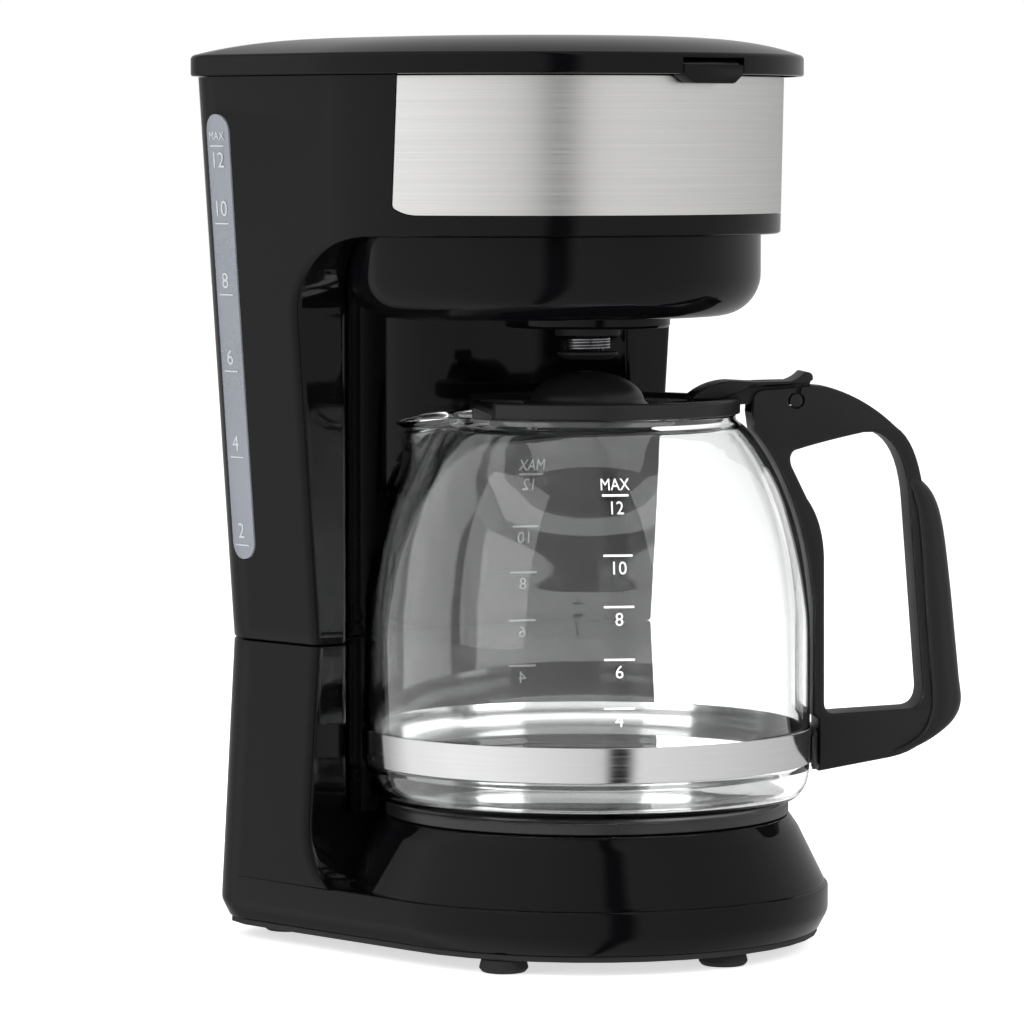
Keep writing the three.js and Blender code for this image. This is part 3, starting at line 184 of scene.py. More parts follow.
def meshObject(name, mesh, sharp=32):
    bmesh.ops.remove_doubles(mesh, verts=mesh.verts, dist=2e-6)
    bmesh.ops.recalc_face_normals(mesh, faces=mesh.faces)
    data = bpy.data.meshes.new(name)
    mesh.to_mesh(data)
    mesh.free()
    made = bpy.data.objects.new(name, data)
    bpy.context.scene.collection.objects.link(made)
    data.shade_smooth()
    data.set_sharp_from_angle(angle=math.radians(sharp))
    return made


def evaluated(made):
    # the mesh that an object's modifiers or its curve make
    bpy.context.view_layer.update()
    return bpy.data.meshes.new_from_object(made.evaluated_get(bpy.context.evaluated_depsgraph_get()))


def applied(made, sharp=32):
    # the object's modifiers, made part of its mesh
    old = made.data
    made.data = evaluated(made)
    made.data.name = made.name
    made.modifiers.clear()
    bpy.data.meshes.remove(old)
    made.data.shade_smooth()
    made.data.set_sharp_from_angle(angle=math.radians(sharp))
    return made


def carve(made, *cutters, how="DIFFERENCE", sharp=32):
    for cutter in cutters:
        step = made.modifiers.new("carve", "BOOLEAN")
        step.operation, step.solver, step.object = how, "EXACT", cutter
    applied(made, sharp)
    for cutter in cutters:
        bpy.data.objects.remove(cutter)
    return made


def joined(made, *others):
    mesh = bmesh.new()
    for part in (made, *others):
        mesh.from_mesh(part.data)
    for part in others:
        bpy.data.objects.remove(part)
    mesh.to_mesh(made.data)
    mesh.free()
    return made


def drawnMesh(curve, place):
    # a curve's mesh, with its points laid where place puts them
    drawn = bpy.data.objects.new(curve.name, curve)
    bpy.context.scene.collection.objects.link(drawn)
    data = evaluated(drawn)
    bpy.data.objects.remove(drawn)
    mesh = bmesh.new()
    mesh.from_mesh(data)
    bpy.data.meshes.remove(data)
    for v in mesh.verts:
        v.co = place(v.co.x / mm, v.co.y / mm, v.co.z / mm)
    return mesh


def cutFlat(outline, holes, half, edge, place, name, count=3):
    # a drawn outline with holes, as thick as twice half, its edges rounded
    curve = bpy.data.curves.new(name, "CURVE")
    curve.dimensions, curve.fill_mode = "2D", "BOTH"
    for points in (outline, *holes):
        line = curve.splines.new("POLY")
        line.points.add(len(points) - 1)
        for spot, (u, v) in zip(line.points, points):
            spot.co = (u * mm, v * mm, 0, 1)
        line.use_cyclic_u = True
    curve.bevel_depth, curve.bevel_resolution = edge * mm, count
    curve.offset, curve.extrude = -edge * mm, (half - edge) * mm
    return drawnMesh(curve, place)


def lettering(words, size, place, depth):
    # text laid on a surface, where place takes (across, up, out)
    curve = bpy.data.curves.new("words", "FONT")
    curve.body, curve.size, curve.extrude = words, size * mm, depth * mm
    curve.align_x, curve.align_y, curve.resolution_u = "CENTER", "CENTER", 4
    return drawnMesh(curve, lambda s, up, out: place(s, up, out + depth))


def bar(width, height, place, depth, count=10):
    # a printed line, laid on a surface like the lettering
    rings = []
    for s in steps(-width / 2, width / 2, count):
        rings.append([place(s, -height / 2, 0), place(s, height / 2, 0),
                      place(s, height / 2, 2 * depth), place(s, -height / 2, 2 * depth)])
    return skin(rings)


def gathered(meshes):
    whole = bmesh.new()
    for mesh in meshes:
        data = bpy.data.meshes.new("part")
        mesh.to_mesh(data)
        mesh.free()
        whole.from_mesh(data)
        bpy.data.meshes.remove(data)
    return whole


paints = {}


def addPiece(made, body, slotName, *replaced, paint=None):
    made.data.materials.clear()
    made.data.materials.append(paints[paint or slotName])
    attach(made, body)
    if replaced:
        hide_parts(*replaced)
    return made


def softened(node, body, slotName, width=0.35, sharp=32):
    # the CAD piece again with its edges rounded
    mesh = bmesh.new()
    mesh.from_mesh(nodes[node].data)
    bmesh.ops.remove_doubles(mesh, verts=mesh.verts, dist=2e-6)
    bmesh.ops.dissolve_limit(mesh, angle_limit=0.02, verts=mesh.verts, edges=mesh.edges)
    made = meshObject("soft_" + node, mesh, sharp)
    step = made.modifiers.new("edges", "BEVEL")
    step.width, step.segments, step.limit_method = width * mm, 2, "ANGLE"
    step.angle_limit = math.radians(40)
    applied(made, sharp)
    return addPiece(made, body, slotName, node)


# materials

class Value:
    # a socket whose sums add Math nodes
    def __init__(self, nodes, socket):
        self.nodes, self.socket = nodes, socket

    def sum(self, operation, *numbers):
        made = self.nodes.node("Math", {"operation": operation}, dict(enumerate(numbers)))
        return Value(self.nodes, made.outputs[0])

    def __add__(self, other):
        return self.sum("ADD", self, other)

    __radd__ = __add__

    def __sub__(self, other):
        return self.sum("SUBTRACT", self, other)

    def __rsub__(self, other):
        return self.sum("SUBTRACT", other, self)

    def __mul__(self, other):
        return self.sum("MULTIPLY", self, other)

    __rmul__ = __mul__

    def __truediv__(self, other):
        return self.sum("DIVIDE", self, other)


class Nodes:
    # a material's node tree: one method makes its nodes, the other joins them
    def __init__(self, owner):
        owner.use_nodes = True
        self.tree = owner.node_tree

    def node(self, kind, settings=None, sockets=None):
        made = self.tree.nodes.new("ShaderNode" + kind)
        for key, value in (settings or {}).items():
            if key == "stops":
                for i, (spot, colour) in enumerate(value):
                    stop = made.color_ramp.elements[i] if i < 2 else made.color_ramp.elements.new(spot)
                    stop.position, stop.color = spot, colour
            else:
                setattr(made, key, value)
        for key, value in (sockets or {}).items():
            self.link(value, made.inputs[key])
        return made

    def link(self, value, socket):
        if isinstance(value, Value):
            value = value.socket
        if isinstance(value, bpy.types.NodeSocket):
            self.tree.links.new(value, socket)
        else:
            socket.default_value = value


class Paint(Nodes):
    # a material with one Principled shader; fixed values go on its own sockets
    def __init__(self, name, **fixed):
        material = bpy.data.materials.new("finish_" + name)
        super().__init__(material)
        self.shader = self.tree.nodes["Principled BSDF"]
        for key, value in fixed.items():
            self.shader.inputs[key.replace("_", " ")].default_value = value
        self.place = Value(self, self.node("TexCoord").outputs["Object"])
        paints[name] = material

    def stretched(self, scale):
        made = self.node("VectorMath", {"operation": "MULTIPLY"}, {0: self.place, 1: scale})
        return made.outputs[0]

    def noise(self, scale, detail=2.0, rough=0.5, where=None):
        made = self.node("TexNoise", None, {
            "Vector": where or self.place, "Scale": scale, "Detail": detail, "Roughness": rough})
        return Value(self, made.outputs[0])

    def fit(self, value, low, high, newLow, newHigh):
        made = self.node("MapRange", {"clamp": True}, {0: value, 1: low, 2: high, 3: newLow, 4: newHigh})
        return Value(self, made.outputs[0])

    def blendColours(self, share, first, second):
        made = self.node("Mix", {"data_type": "RGBA"}, {0: share, 6: first, 7: second})
        return made.outputs[2]

    def feed(self, **sockets):
        for key, value in sockets.items():
            self.link(value, self.shader.inputs[key.replace("_", " ")])

    def bump(self, height, strength, distance):
        sockets = {"Strength": strength, "Distance": distance, "Height": height}
        return self.node("Bump", None, sockets).outputs[0]


def grey(value):
    return (value, value, value, 1)


finish = {
    "glossShine": 0.18, "mattShine": 0.3, "printWhite": (0.72, 0.86), "dustScale": 700,
    "steelDark": (0.74, 0.735, 0.72, 1), "steelLight": (0.9, 0.895, 0.88, 1), "steelRough": (0.24, 0.36),
    "smokeDark": (0.21, 0.226, 0.255, 1), "smokeLight": (0.27, 0.288, 0.322, 1),
}


def glossPlastic(name, colour, rough, spread, wave):
    # polished moulding: slow swirls in its shine, the faintest ripple, fine dust
    paint = Paint(name, Specular_IOR_Level=finish["glossShine"], IOR=1.5)
    cloud = paint.noise(9, 3)
    flow = paint.noise(60, 2, 0.6)
    dust = paint.fit(paint.noise(finish["dustScale"], 2, 0.8), 0.72, 0.8, 0, 1)
    darker = tuple(c * 0.75 for c in colour[:3]) + (1,)
    paint.feed(
        Base_Color=paint.blendColours(cloud, darker, colour),
        Roughness=paint.fit(cloud * 0.6 + flow * 0.4, 0.3, 0.7, rough, rough + spread) + dust * 0.05,
        Normal=paint.bump(paint.noise(38, 1), wave, 0.0006))


def mattPlastic(name, colour, rough, grain, depth=0.25, scale=2600):
    # spark-eroded moulding: a fine pebbled grain with rubbed patches
    paint = Paint(name, Specular_IOR_Level=finish["mattShine"], IOR=1.5)
    pebble = paint.noise(scale, 3, 0.65)
    rubbed = paint.noise(22, 3)
    lighter = tuple(c * 1.25 for c in colour[:3]) + (1,)
    paint.feed(
        Base_Color=paint.blendColours(paint.fit(pebble, 0.35, 0.65, 0, 1), colour, lighter),
        Roughness=paint.fit(rubbed, 0.3, 0.7, rough - 0.06, rough + 0.08) + pebble * grain,
        Normal=paint.bump(pebble, depth, 0.00012))


def makePaints():
    glossPlastic("gloss_black", (0.002, 0.002, 0.0024, 1), 0.04, 0.05, 0.02)
    mattPlastic("matt_black", (0.010, 0.010, 0.011, 1), 0.5, 0.1)
    mattPlastic("handle_black", (0.0072, 0.0072, 0.008, 1), 0.34, 0.06, 0.12, 3400)
    mattPlastic("black_rubber", (0.012, 0.012, 0.012, 1), 0.75, 0.1, 0.3, 1800)
    mattPlastic("silicone", (0.66, 0.64, 0.6, 1), 0.5, 0.08, 0.1, 900)
    mattPlastic("ceramic", (0.72, 0.69, 0.62, 1), 0.38, 0.08, 0.12, 1200)

    steel = Paint("brushed_steel", Metallic=1.0)
    streak = steel.noise(1, 3, 0.7, steel.stretched((14, 14, 3200)))
    longStreak = steel.noise(1, 2, 0.6, steel.stretched((4, 4, 900)))
    patch = steel.noise(7, 2)
    tone = streak * 0.6 + longStreak * 0.4
    steel.feed(
        Base_Color=steel.blendColours(steel.fit(tone, 0.3, 0.7, 0, 1), finish["steelDark"],
                                      finish["steelLight"]),
        Roughness=steel.fit(tone, 0.3, 0.7, *finish["steelRough"]) + patch * 0.04,
        Normal=steel.bump(streak, 0.16, 0.00006))

    chrome = Paint("polished_band", Metallic=1.0)
    haze = chrome.noise(1, 2, 0.6, chrome.stretched((30, 30, 1500)))
    chrome.feed(
        Base_Color=chrome.blendColours(haze, (0.80, 0.80, 0.81, 1), (0.88, 0.88, 0.88, 1)),
        Roughness=chrome.fit(haze, 0.3, 0.7, 0.07, 0.16),
        Normal=chrome.bump(haze, 0.05, 0.00004))

    for name, colour, rough, scale in (
            ("fastener_steel", (0.50, 0.50, 0.52, 1), 0.32, 500),
            ("cast_aluminium", (0.58, 0.58, 0.59, 1), 0.45, 900),
            ("gold_mesh", (0.70, 0.50, 0.20, 1), 0.34, 1500)):
        metal = Paint(name, Metallic=1.0)
        mottle = metal.noise(scale, 3, 0.6)
        darker = tuple(c * 0.8 for c in colour[:3]) + (1,)
        metal.feed(
            Base_Color=metal.blendColours(metal.fit(mottle, 0.3, 0.7, 0, 1), darker, colour),
            Roughness=metal.fit(mottle, 0.3, 0.7, rough - 0.08, rough + 0.1),
            Normal=metal.bump(mottle, 0.12, 0.0001))

    coating = Paint("plate_coating", Specular_IOR_Level=0.5, Coat_Roughness=0.25)
    speck = coating.noise(1900, 3, 0.7)
    worn = coating.noise(16, 3)
    coating.feed(
        Base_Color=coating.blendColours(coating.fit(speck, 0.62, 0.75, 0, 1), grey(0.008), grey(0.05)),
        Roughness=coating.fit(worn, 0.3, 0.7, 0.28, 0.42),
        Coat_Weight=coating.fit(worn, 0.4, 0.6, 0.1, 0.3),
        Normal=coating.bump(speck, 0.1, 0.0001))

    glass = Paint("clear_glass", Transmission_Weight=1.0, IOR=1.47)
    ripple = glass.noise(1, 2, 0.5, glass.stretched((26, 26, 12)))
    film = glass.noise(34, 3, 0.6)
    glass.feed(
        Base_Color=glass.blendColours(film, (0.965, 0.975, 0.97, 1), (0.99, 0.995, 0.992, 1)),
        Roughness=glass.fit(film, 0.55, 0.8, 0, 0.02),
        Normal=glass.bump(ripple, 0.05, 0.0012))

    smoky = Paint("clear_plastic", Transmission_Weight=0.25, IOR=1.5)
    veil = smoky.noise(26, 3)
    fleck = smoky.noise(1100, 2, 0.7)
    smoky.feed(
        Base_Color=smoky.blendColours(veil, finish["smokeDark"], finish["smokeLight"]),
        Roughness=smoky.fit(veil, 0.3, 0.7, 0.22, 0.36) + fleck * 0.05,
        Normal=smoky.bump(fleck, 0.06, 0.0001))

    ink = Paint("printed_white", Specular_IOR_Level=finish["mattShine"])
    worn, full = finish["printWhite"]
    thin = ink.noise(420, 3, 0.7)
    ink.feed(
        Base_Color=ink.blendColours(ink.fit(thin, 0.35, 0.65, 0, 1), grey(worn), grey(full)),
        Roughness=ink.fit(thin, 0.3, 0.7, 0.45, 0.65),
        Normal=ink.bump(thin, 0.1, 0.00005))

    mark = Paint("moulded_mark", Specular_IOR_Level=0.5)
    cloud = mark.noise(120, 3)
    mark.feed(
        Base_Color=mark.blendColours(cloud, (0.36, 0.38, 0.41, 1), (0.42, 0.44, 0.47, 1)),
        Roughness=mark.fit(cloud, 0.3, 0.7, 0.3, 0.42),
        Normal=mark.bump(mark.noise(900, 2), 0.08, 0.0001))


makePaints()
for entry in frame["record"]["materials"]:
    assert entry["slot"] in paints, entry["slot"]
print("materials made:", len(paints))


# plan outlines of the tower, head and base, like the CAD's

tower = {
    "seam": 106, "seamHalf": 81.8, "topHalf": 97.2, "rear": 113, "corner": 25, "front": 52, "wall": 2.5,
    "lip": 250, "top": 305, "centre": 33.7, "lipRadius": 90.9, "topRadius": 92, "sweepDepth": 42,
    "sweepHeight": 28,
    "bay": 85, "frontCorner": 3.2, "bayCorner": 2.2,
}
base = {
    "bottom": 7, "chamfer": 6, "inset": 3.2, "rim": 22.5, "skirtFoot": 1.4, "skirtTop": 45, "deck": 46.5,
    "radius": 85, "skirtTopRadius": 73, "deckRadius": 71.2, "rearHalf": 88.4, "footSweep": 16,
}


def planRing(frontRadius, centre, half, rear, corner, inset=0):
    # round front, straight sides, cornered rear, from the front's left round to the right
    points = []
    radius = frontRadius - inset
    for a in steps(math.pi, 2 * math.pi, 144):
        points.append((radius * math.cos(a), centre + radius * math.sin(a)))
    corner = max(1, corner - inset)
    for side in (1, -1):
        for a in (steps(0, math.pi / 2, 16) if side > 0 else steps(math.pi / 2, 0, 16)):
            points.append((side * (half - inset - corner + corner * math.cos(a)),
                           rear - inset - corner + corner * math.sin(a)))
    return points


def upperHalf(z):
    return mix(tower["seamHalf"], tower["topHalf"], (z - tower["seam"]) / (tower["top"] - tower["seam"]))


def upperFront(z):
    if z < tower["lip"]:
        return tower["lipRadius"] + upperHalf(z) - upperHalf(tower["lip"])
    return mix(tower["lipRadius"], tower["topRadius"], (z - tower["lip"]) / (tower["top"] - tower["lip"]))


def upperRing(z, inset=0):
    return planRing(upperFront(z), tower["centre"], upperHalf(z), tower["rear"], tower["corner"], inset)


def lowerRing(z, inset=0):
    up = max(0, (z - base["rim"]) / (tower["seam"] - base["rim"]))
    half = mix(base["rearHalf"], tower["seamHalf"], (z - base["bottom"]) / (tower["seam"] - base["bottom"]))
    return planRing(mix(base["radius"], upperFront(tower["seam"]), up), mix(0, tower["centre"], up),
                    half, tower["rear"], tower["corner"], inset)


def leftSide(ring):
    # the left half of a ring, from the middle of the rear to the middle of the front
    return [(0, ring[-17][1])] + ring[-17:] + ring[:73]


def hornRing(ring, front, bay, inset=0):
    # the plan of the tower round the carafe's bay: outside, front edges and the bay's own wall
    outer = leftSide(ring)
    for i, (a, b) in enumerate(zip(outer, outer[1:])):
        if b[1] < front <= a[1]:
            t = (a[1] - front) / (a[1] - b[1])
            outer = outer[:i + 1] + [(mix(a[0], b[0], t), front)]
            break
    tip = outer[-1]
    turn = math.acos(min(1, front / bay))
    inner = [(-bay * math.sin(a), bay * math.cos(a)) for a in steps(turn, 0, 90)]
    face = inner[0][0] - tip[0]
    first = max(0.05, min(tower["frontCorner"] - inset * 0.8, face * 0.42))
    second = max(0.05, min(tower["bayCorner"] + inset * 0.2, face * 0.42))
    side = evenly(outer, 110, 0, first)
    wall = evenly(inner, 64, second, 0)
    half = side[:-1] + bend(side[-1], tip, (tip[0] + first, front)) \
        + bend((inner[0][0] - second, front), inner[0], wall[0]) + wall[1:]
    return half + [(-x, y) for x, y in half[-2:0:-1]]


def raisedRing(points, z):
    return [at(x, y, z) for x, y in points]


def varied(inner, outer, weight, z):
    # between two outlines, point by point
    return [at(mix(a[0], b[0], weight(a)), mix(a[1], b[1], weight(a)), z) for a, b in zip(inner, outer)]


window = {
    "bottom": 135, "top": 292, "half": 6.3, "centre": 88, "proud": 0.5, "lip": 2.2,
    "lines": (280.8, 253.6, 228.6, 201.6, 171.2, 140), "line": 8,
    "figures": [(275.6, "12"), (258.6, "10"), (233.3, "8"), (206.3, "6"), (175.9, "4"), (144.8, "2")],
    "size": 7.8,
    "maxAt": 284.2, "maxSize": 4.2,
}


def slotCutter(grow, toX=-70):
    # the upright slot of the water window
    radius = window["half"] + grow
    outline = []
    for turn, z in ((0, window["top"] - window["half"]), (math.pi, window["bottom"] + window["half"])):
        for a in steps(turn, turn + math.pi, 20):
            outline.append((window["centre"] + radius * math.cos(a), z + radius * math.sin(a)))
    return skin([[at(x, y, z) for y, z in outline] for x in (-120, toX)])


band = {"bottom": 257.3, "top": 304.7, "thick": 0.7, "half": 69, "corner": 3.5}

bowl = {"radius": 84, "bay": 84.7, "bottom": 221, "round": 15, "wall": 2.2, "top": 249.7, "outlet": 29,
        "hole": 11.8}


def frontPatch(outer, inner, grow=0, high=None):
    # a shell over the head's round front, its lower corners rounded; the insets are of its two faces
    halfX = tower["topRadius"] * math.sin(math.radians(band["half"])) + grow
    low, high = band["bottom"] - grow, high or band["top"]
    corner = band["corner"] + grow
    columns = [-halfX + corner * (1 - math.cos(a)) for a in steps(0, math.pi / 2, 8)]
    columns += [x for x in (halfX * math.sin(a) for a in steps(-1.5, 1.5,
                                                               120)) if abs(x) < halfX - corner - 0.2]
    columns += [-x for x in columns[8::-1]]
    rings = []

    def spot(x, z, inset):
        radius = upperFront(z) - inset
        return at(x, tower["centre"] - math.sqrt(radius * radius - x * x), z)

    for x in columns:
        inside = max(0, corner - (halfX - abs(x)))
        foot = low + corner - math.sqrt(max(0, corner * corner - inside * inside))
        heights = steps(foot, high, 8)
        rings.append([spot(x, z, outer) for z in heights] + [spot(x, z, inner) for z in heights[::-1]])
    return skin(rings)


def makeUpperHousing():
    low = tower["seam"] + gap
    wall = tower["wall"]
    rows = [(low, 0.7, 0), (low + 0.2, 0.3, 0), (low + 0.7, 0, 0)]
    rows += [(z, 0, 0) for z in steps(low + 6, tower["lip"] - tower["sweepHeight"], 20)]
    sweep = [math.pi / 2 * (i / 30) for i in range(1, 31)]

    def ringAt(z, inset, turn):
        front = tower["front"] + inset - tower["sweepDepth"] * (1 - math.cos(turn))
        return hornRing(upperRing(z, inset), front, tower["bay"] + inset, inset)

    def sweepHeight(turn, inset=0):
        return tower["lip"] + inset - tower["sweepHeight"] * (1 - math.sin(turn))

    outside = rows + [(sweepHeight(t), 0, t) for t in sweep]
    inside = [(row[0], wall, 0) for row in rows[2:]] + [(sweepHeight(t), wall, t) for t in sweep]
    rings = [raisedRing(ringAt(z, inset, turn), z) for z, inset, turn in outside + inside[::-1]]
    horns = meshObject("tower_wall", skin(rings, loop=True))

    lip = 1.1
    bottom, top = tower["lip"], tower["top"]

    def weight(point):
        return 1 - ease(-14, 10, point[1])

    rings = [varied(upperRing(z), upperRing(z, inset), weight, z) for z, inset in (
        (bottom, lip), (bottom + 0.15, lip * 0.55), (bottom + 0.5, 0.18), (bottom + lip, 0))]
    rings += [raisedRing(upperRing(z), z) for z in steps(bottom + 4, top, 10)]
    rings += [raisedRing(upperRing(z, wall), z) for z in (top, bottom)]
    walls = meshObject("head_wall", skin(rings, loop=True))
    walls = carve(walls, meshObject("seat", frontPatch(-3, band["thick"] + gap, gap, 310)),
                  meshObject("slot", slotCutter(gap)))
    horns = carve(horns, meshObject("slot", slotCutter(gap)))

    # the floor under the head, between its wall and the bowl
    hole, rim = [], []
    ledge = 6
    for a in circle(240):
        x, y = math.cos(a), math.sin(a)
        centre = y * tower["centre"]

        def reach(radius):
            return centre + math.sqrt(centre ** 2 - tower["centre"] ** 2 + radius ** 2)

        opening = min(reach(bowl["radius"] - ledge), tower["bay"] - ledge)
        wallReach = min(reach(upperFront(bottom) - lip + 0.02), tower["bay"] + 1.2)
        hole.append((x * opening, y * opening))
        rim.append((x * wallReach, y * wallReach))
    over = bottom + 2.2
    sheet = [raisedRing(points,
                        z) for points, z in ((rim, bottom), (hole, bottom), (hole, over), (rim, over))]
    floor = meshObject("head_floor", skin(sheet, loop=True))
    addPiece(joined(horns, walls, floor), "machine", "gloss_black", "upper_housing")


def makeLowerHousing():
    wall = tower["wall"]
    bottom, rim, seam = base["bottom"], base["rim"], tower["seam"]
    footTurns = [math.pi / 2 * (1 - i / 18) for i in range(19)]
    drop = base["skirtTop"] - rim

    def front(turn, inset):
        return tower["front"] + inset - base["footSweep"] * (1 - math.cos(turn))

    rows = [(rim + drop * (1 - math.sin(t)), 0, t, 68) for t in footTurns]
    rows += [(base["deck"], 0, 0, 68), (base["deck"] + 0.01, 0, 0, tower["bay"])]
    rows += [(z, 0, 0, tower["bay"]) for z in steps(50, seam - 0.7, 14)]
    rows += [(seam - 0.2, 0.3, 0, tower["bay"]), (seam, 0.7, 0, tower["bay"])]
    inner = [(seam, wall, 0, tower["bay"]), (50, wall, 0, tower["bay"]),
             (base["deck"] - wall, wall, 0, tower["bay"]), (base["deck"] - wall - 0.01, wall, 0, 68)]
    inner += [(rim + drop * (1 - math.sin(t)), wall, t, 68) for t in footTurns[::-1][1:]]
    rings = [raisedRing(hornRing(lowerRing(z, inset), front(t, inset), bay + inset, inset), z)
             for z, inset, t, bay in rows + inner]
    horns = meshObject("low_tower", skin(rings, loop=True))

    def weight(point):
        return 1 - ease(20, 36, point[1])

    soft = 1.3
    rings = [raisedRing(lowerRing(z, inset), z) for z, inset in (
        (bottom, 3.9), (bottom, base["inset"] + 0.15), (bottom + 0.25, base["inset"] - 0.15),
        (bottom + base["chamfer"] - 1.1, 0.55), (bottom + base["chamfer"], 0.14),
        (bottom + base["chamfer"] + 1.1, 0))]
    rings += [varied(lowerRing(z), lowerRing(z, inset), weight, z) for z, inset in (
        (rim - soft, 0), (rim - soft * 0.5, soft * 0.14), (rim - soft * 0.15, soft * 0.5), (rim, soft))]
    rings += [raisedRing(lowerRing(z, inset), z) for z, inset in (
        (rim, 16), (rim - 2, 16), (rim - 2, wall + 0.2), (bottom + base["chamfer"], wall + 0.2),
        (bottom, base["inset"] + wall))]
    ring = meshObject("base_ring", skin(rings, loop=True))

    foot = base["radius"] - base["skirtFoot"]
    outside = rounded([(foot - 3, rim - 1), (foot, rim - 0.6), (foot, rim + 0.8, 0.5),
                       (base["skirtTopRadius"] + 1.4, base["skirtTop"] - 3, 14),
                       (base["deckRadius"], base["deck"], 1.6), (61, base["deck"]), (61, base["deck"] - wall),
                       (base["deckRadius"] - 2.5, base["deck"] - wall),
                       (base["skirtTopRadius"] - 1.6, base["skirtTop"] - 6), (foot - 3, rim + 1)], 8)
    skirt = meshObject("skirt", turned(outside, 240), 40)
    made = joined(horns, ring, skirt)
    addPiece(made, "machine", "gloss_black", "lower_housing")


makeUpperHousing()
makeLowerHousing()
steelPiece = meshObject("steel_panel", frontPatch(0, band["thick"]))
addPiece(steelPiece, "machine", "brushed_steel", "steel_band")
print("housings made")


# water window with its moulded figures

def wallX(y, z):
    # where the tower's left side stands at a depth and height
    half, corner = upperHalf(z), tower["corner"]
    back = y - (tower["rear"] - corner)
    bulge = corner - math.sqrt(max(0, corner ** 2 - back ** 2)) if back > 0 else 0
    return -(half - bulge)


def makeWindow():
    lens = meshObject("lens", slotCutter(0, -60))
    outer, inner = -window["proud"], tower["wall"] + gap + window["lip"]
    heights = steps(120, 300, 18)
    keep = [raisedRing(upperRing(z, outer), z) for z in heights]
    keep += [raisedRing(upperRing(z, inner), z) for z in heights[::-1]]
    lens = carve(lens, meshObject("keep", skin(keep, loop=True)), how="INTERSECT")
    step = lens.modifiers.new("edges", "BEVEL")
    step.width, step.segments, step.limit_method, step.angle_limit = 0.35 * mm, 2, "ANGLE", math.radians(50)
    applied(lens)
    addPiece(lens, "machine", "clear_plastic", "water_window")

    def place(s, z, out):
        y = window["centre"] - s
        return at(wallX(y, z) - window["proud"] - 0.04 - out, y, z)

    def spot(height):
        return lambda s, z, out: place(s, height + z, out)

    parts = []
    for height, words in window["figures"]:
        parts.append(lettering(words, window["size"], spot(height), 0.05))
    for height in window["lines"]:
        parts.append(bar(window["line"], 0.5, spot(height), 0.05))
    parts.append(lettering("MAX", window["maxSize"], spot(window["maxAt"]), 0.05))
    marks = meshObject("window_marks", gathered(parts))
    addPiece(marks, "machine", "clear_plastic", paint="moulded_mark")


# bowl under the head

def lensRing(radius, bay, z, corner=3):
    # a round front and the bay's round rear, seen from the carafe's axis
    points = []
    for a in circle(260):
        centre = math.sin(a) * tower["centre"]
        far = centre + math.sqrt(centre ** 2 - tower["centre"] ** 2 + radius ** 2)
        gapSoft = max(0, corner - abs(far - bay)) / corner
        reach = min(far, bay) - gapSoft ** 3 * corner / 6
        points.append(at(reach * math.cos(a), reach * math.sin(a), z))
    return points


def makeBowl():
    low, run = bowl["bottom"], bowl["round"]
    outside = [(run * (1 - math.sin(t)), low + run * (1 - math.cos(t))) for t in steps(0, math.pi / 2, 12)]
    outside += [(0, z) for z in steps(low + run + 3, bowl["top"], 3)]
    skinDeep = bowl["wall"]
    innerRun = run - skinDeep
    inside = [(skinDeep, bowl["top"])]
    inside += [(skinDeep + innerRun * (1 - math.sin(t)), low + skinDeep + innerRun * (1 - math.cos(t)))
               for t in steps(math.pi / 2, 0, 8)]
    rings = [lensRing(bowl["radius"] - i, bowl["bay"] - i, z) for i, z in outside + inside]
    rings.append(lensRing(bowl["radius"], bowl["hole"], low + skinDeep))
    rings.append(lensRing(bowl["radius"], bowl["hole"], low))
    shell = meshObject("bowl_shell", skin(rings, loop=True), 40)
    outlet, hole = bowl["outlet"], bowl["hole"]
    ring = meshObject("bowl_outlet", turned(rounded([
        (hole, low - 3.5), (outlet - 0.8, low - 3.5, 0.5), (outlet, low - 2.6, 0.5), (outlet, low + 0.5),
        (hole, low + 0.5)]), 160))
    addPiece(joined(shell, ring), "machine", "gloss_black", "head_bowl")


# hot plate, seal, feet, inlet

plate = {"radius": 71, "top": 51.2, "thick": 1.4, "hole": 61, "deck": 46.5}


def makePlate():
    radius, top, thick, deck = plate["radius"], plate["top"], plate["thick"], plate["deck"] + gap
    turnedPlate = turned(rounded([
        (0, top - thick), (radius - 2.6, top - thick, 0.8), (radius - 1.8, deck, 0.3), (radius, deck, 0.6),
        (radius, top, 1.5), (0, top)], 6, closed=False), 200)
    addPiece(meshObject("hot_plate", turnedPlate), "machine", "plate_coating", "warming_plate")
    hole, high = plate["hole"], top - thick - gap
    seal = turned(rounded([
        (hole - 2.4, 44, 0.4), (hole - 0.3, 44, 0.4), (hole - 0.3, deck), (hole + 4, deck, 0.8),
        (hole + 4, high, 0.8), (hole - 2.4, high, 0.6)]), 120)
    addPiece(meshObject("plate_gasket", seal), "machine", "black_rubber", "plate_seal")


def makeFeet():
    # round pads, a little domed below, with a moulded ring
    for i in range(1, 6):
        low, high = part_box("foot_%d" % i)
        middle = (low + high) / 2

        def place(x, y, z):
            return Vector((middle.x + x * mm, middle.y + y * mm, z * mm))

        profile = rounded([
            (0, 0.25), (4.2, 0.25, 0.3), (4.6, 0, 0.2), (7.3, 0, 1.1), (8.5, 1.4, 0.9), (7.7, 4.5, 0.4),
            (2.2, 4.5), (2.2, 9.4), (0, 9.4)], 4, closed=False)
        addPiece(meshObject("pad_%d" % i, turned(profile, 64, place)), "machine", "black_rubber",
                 "foot_%d" % i)


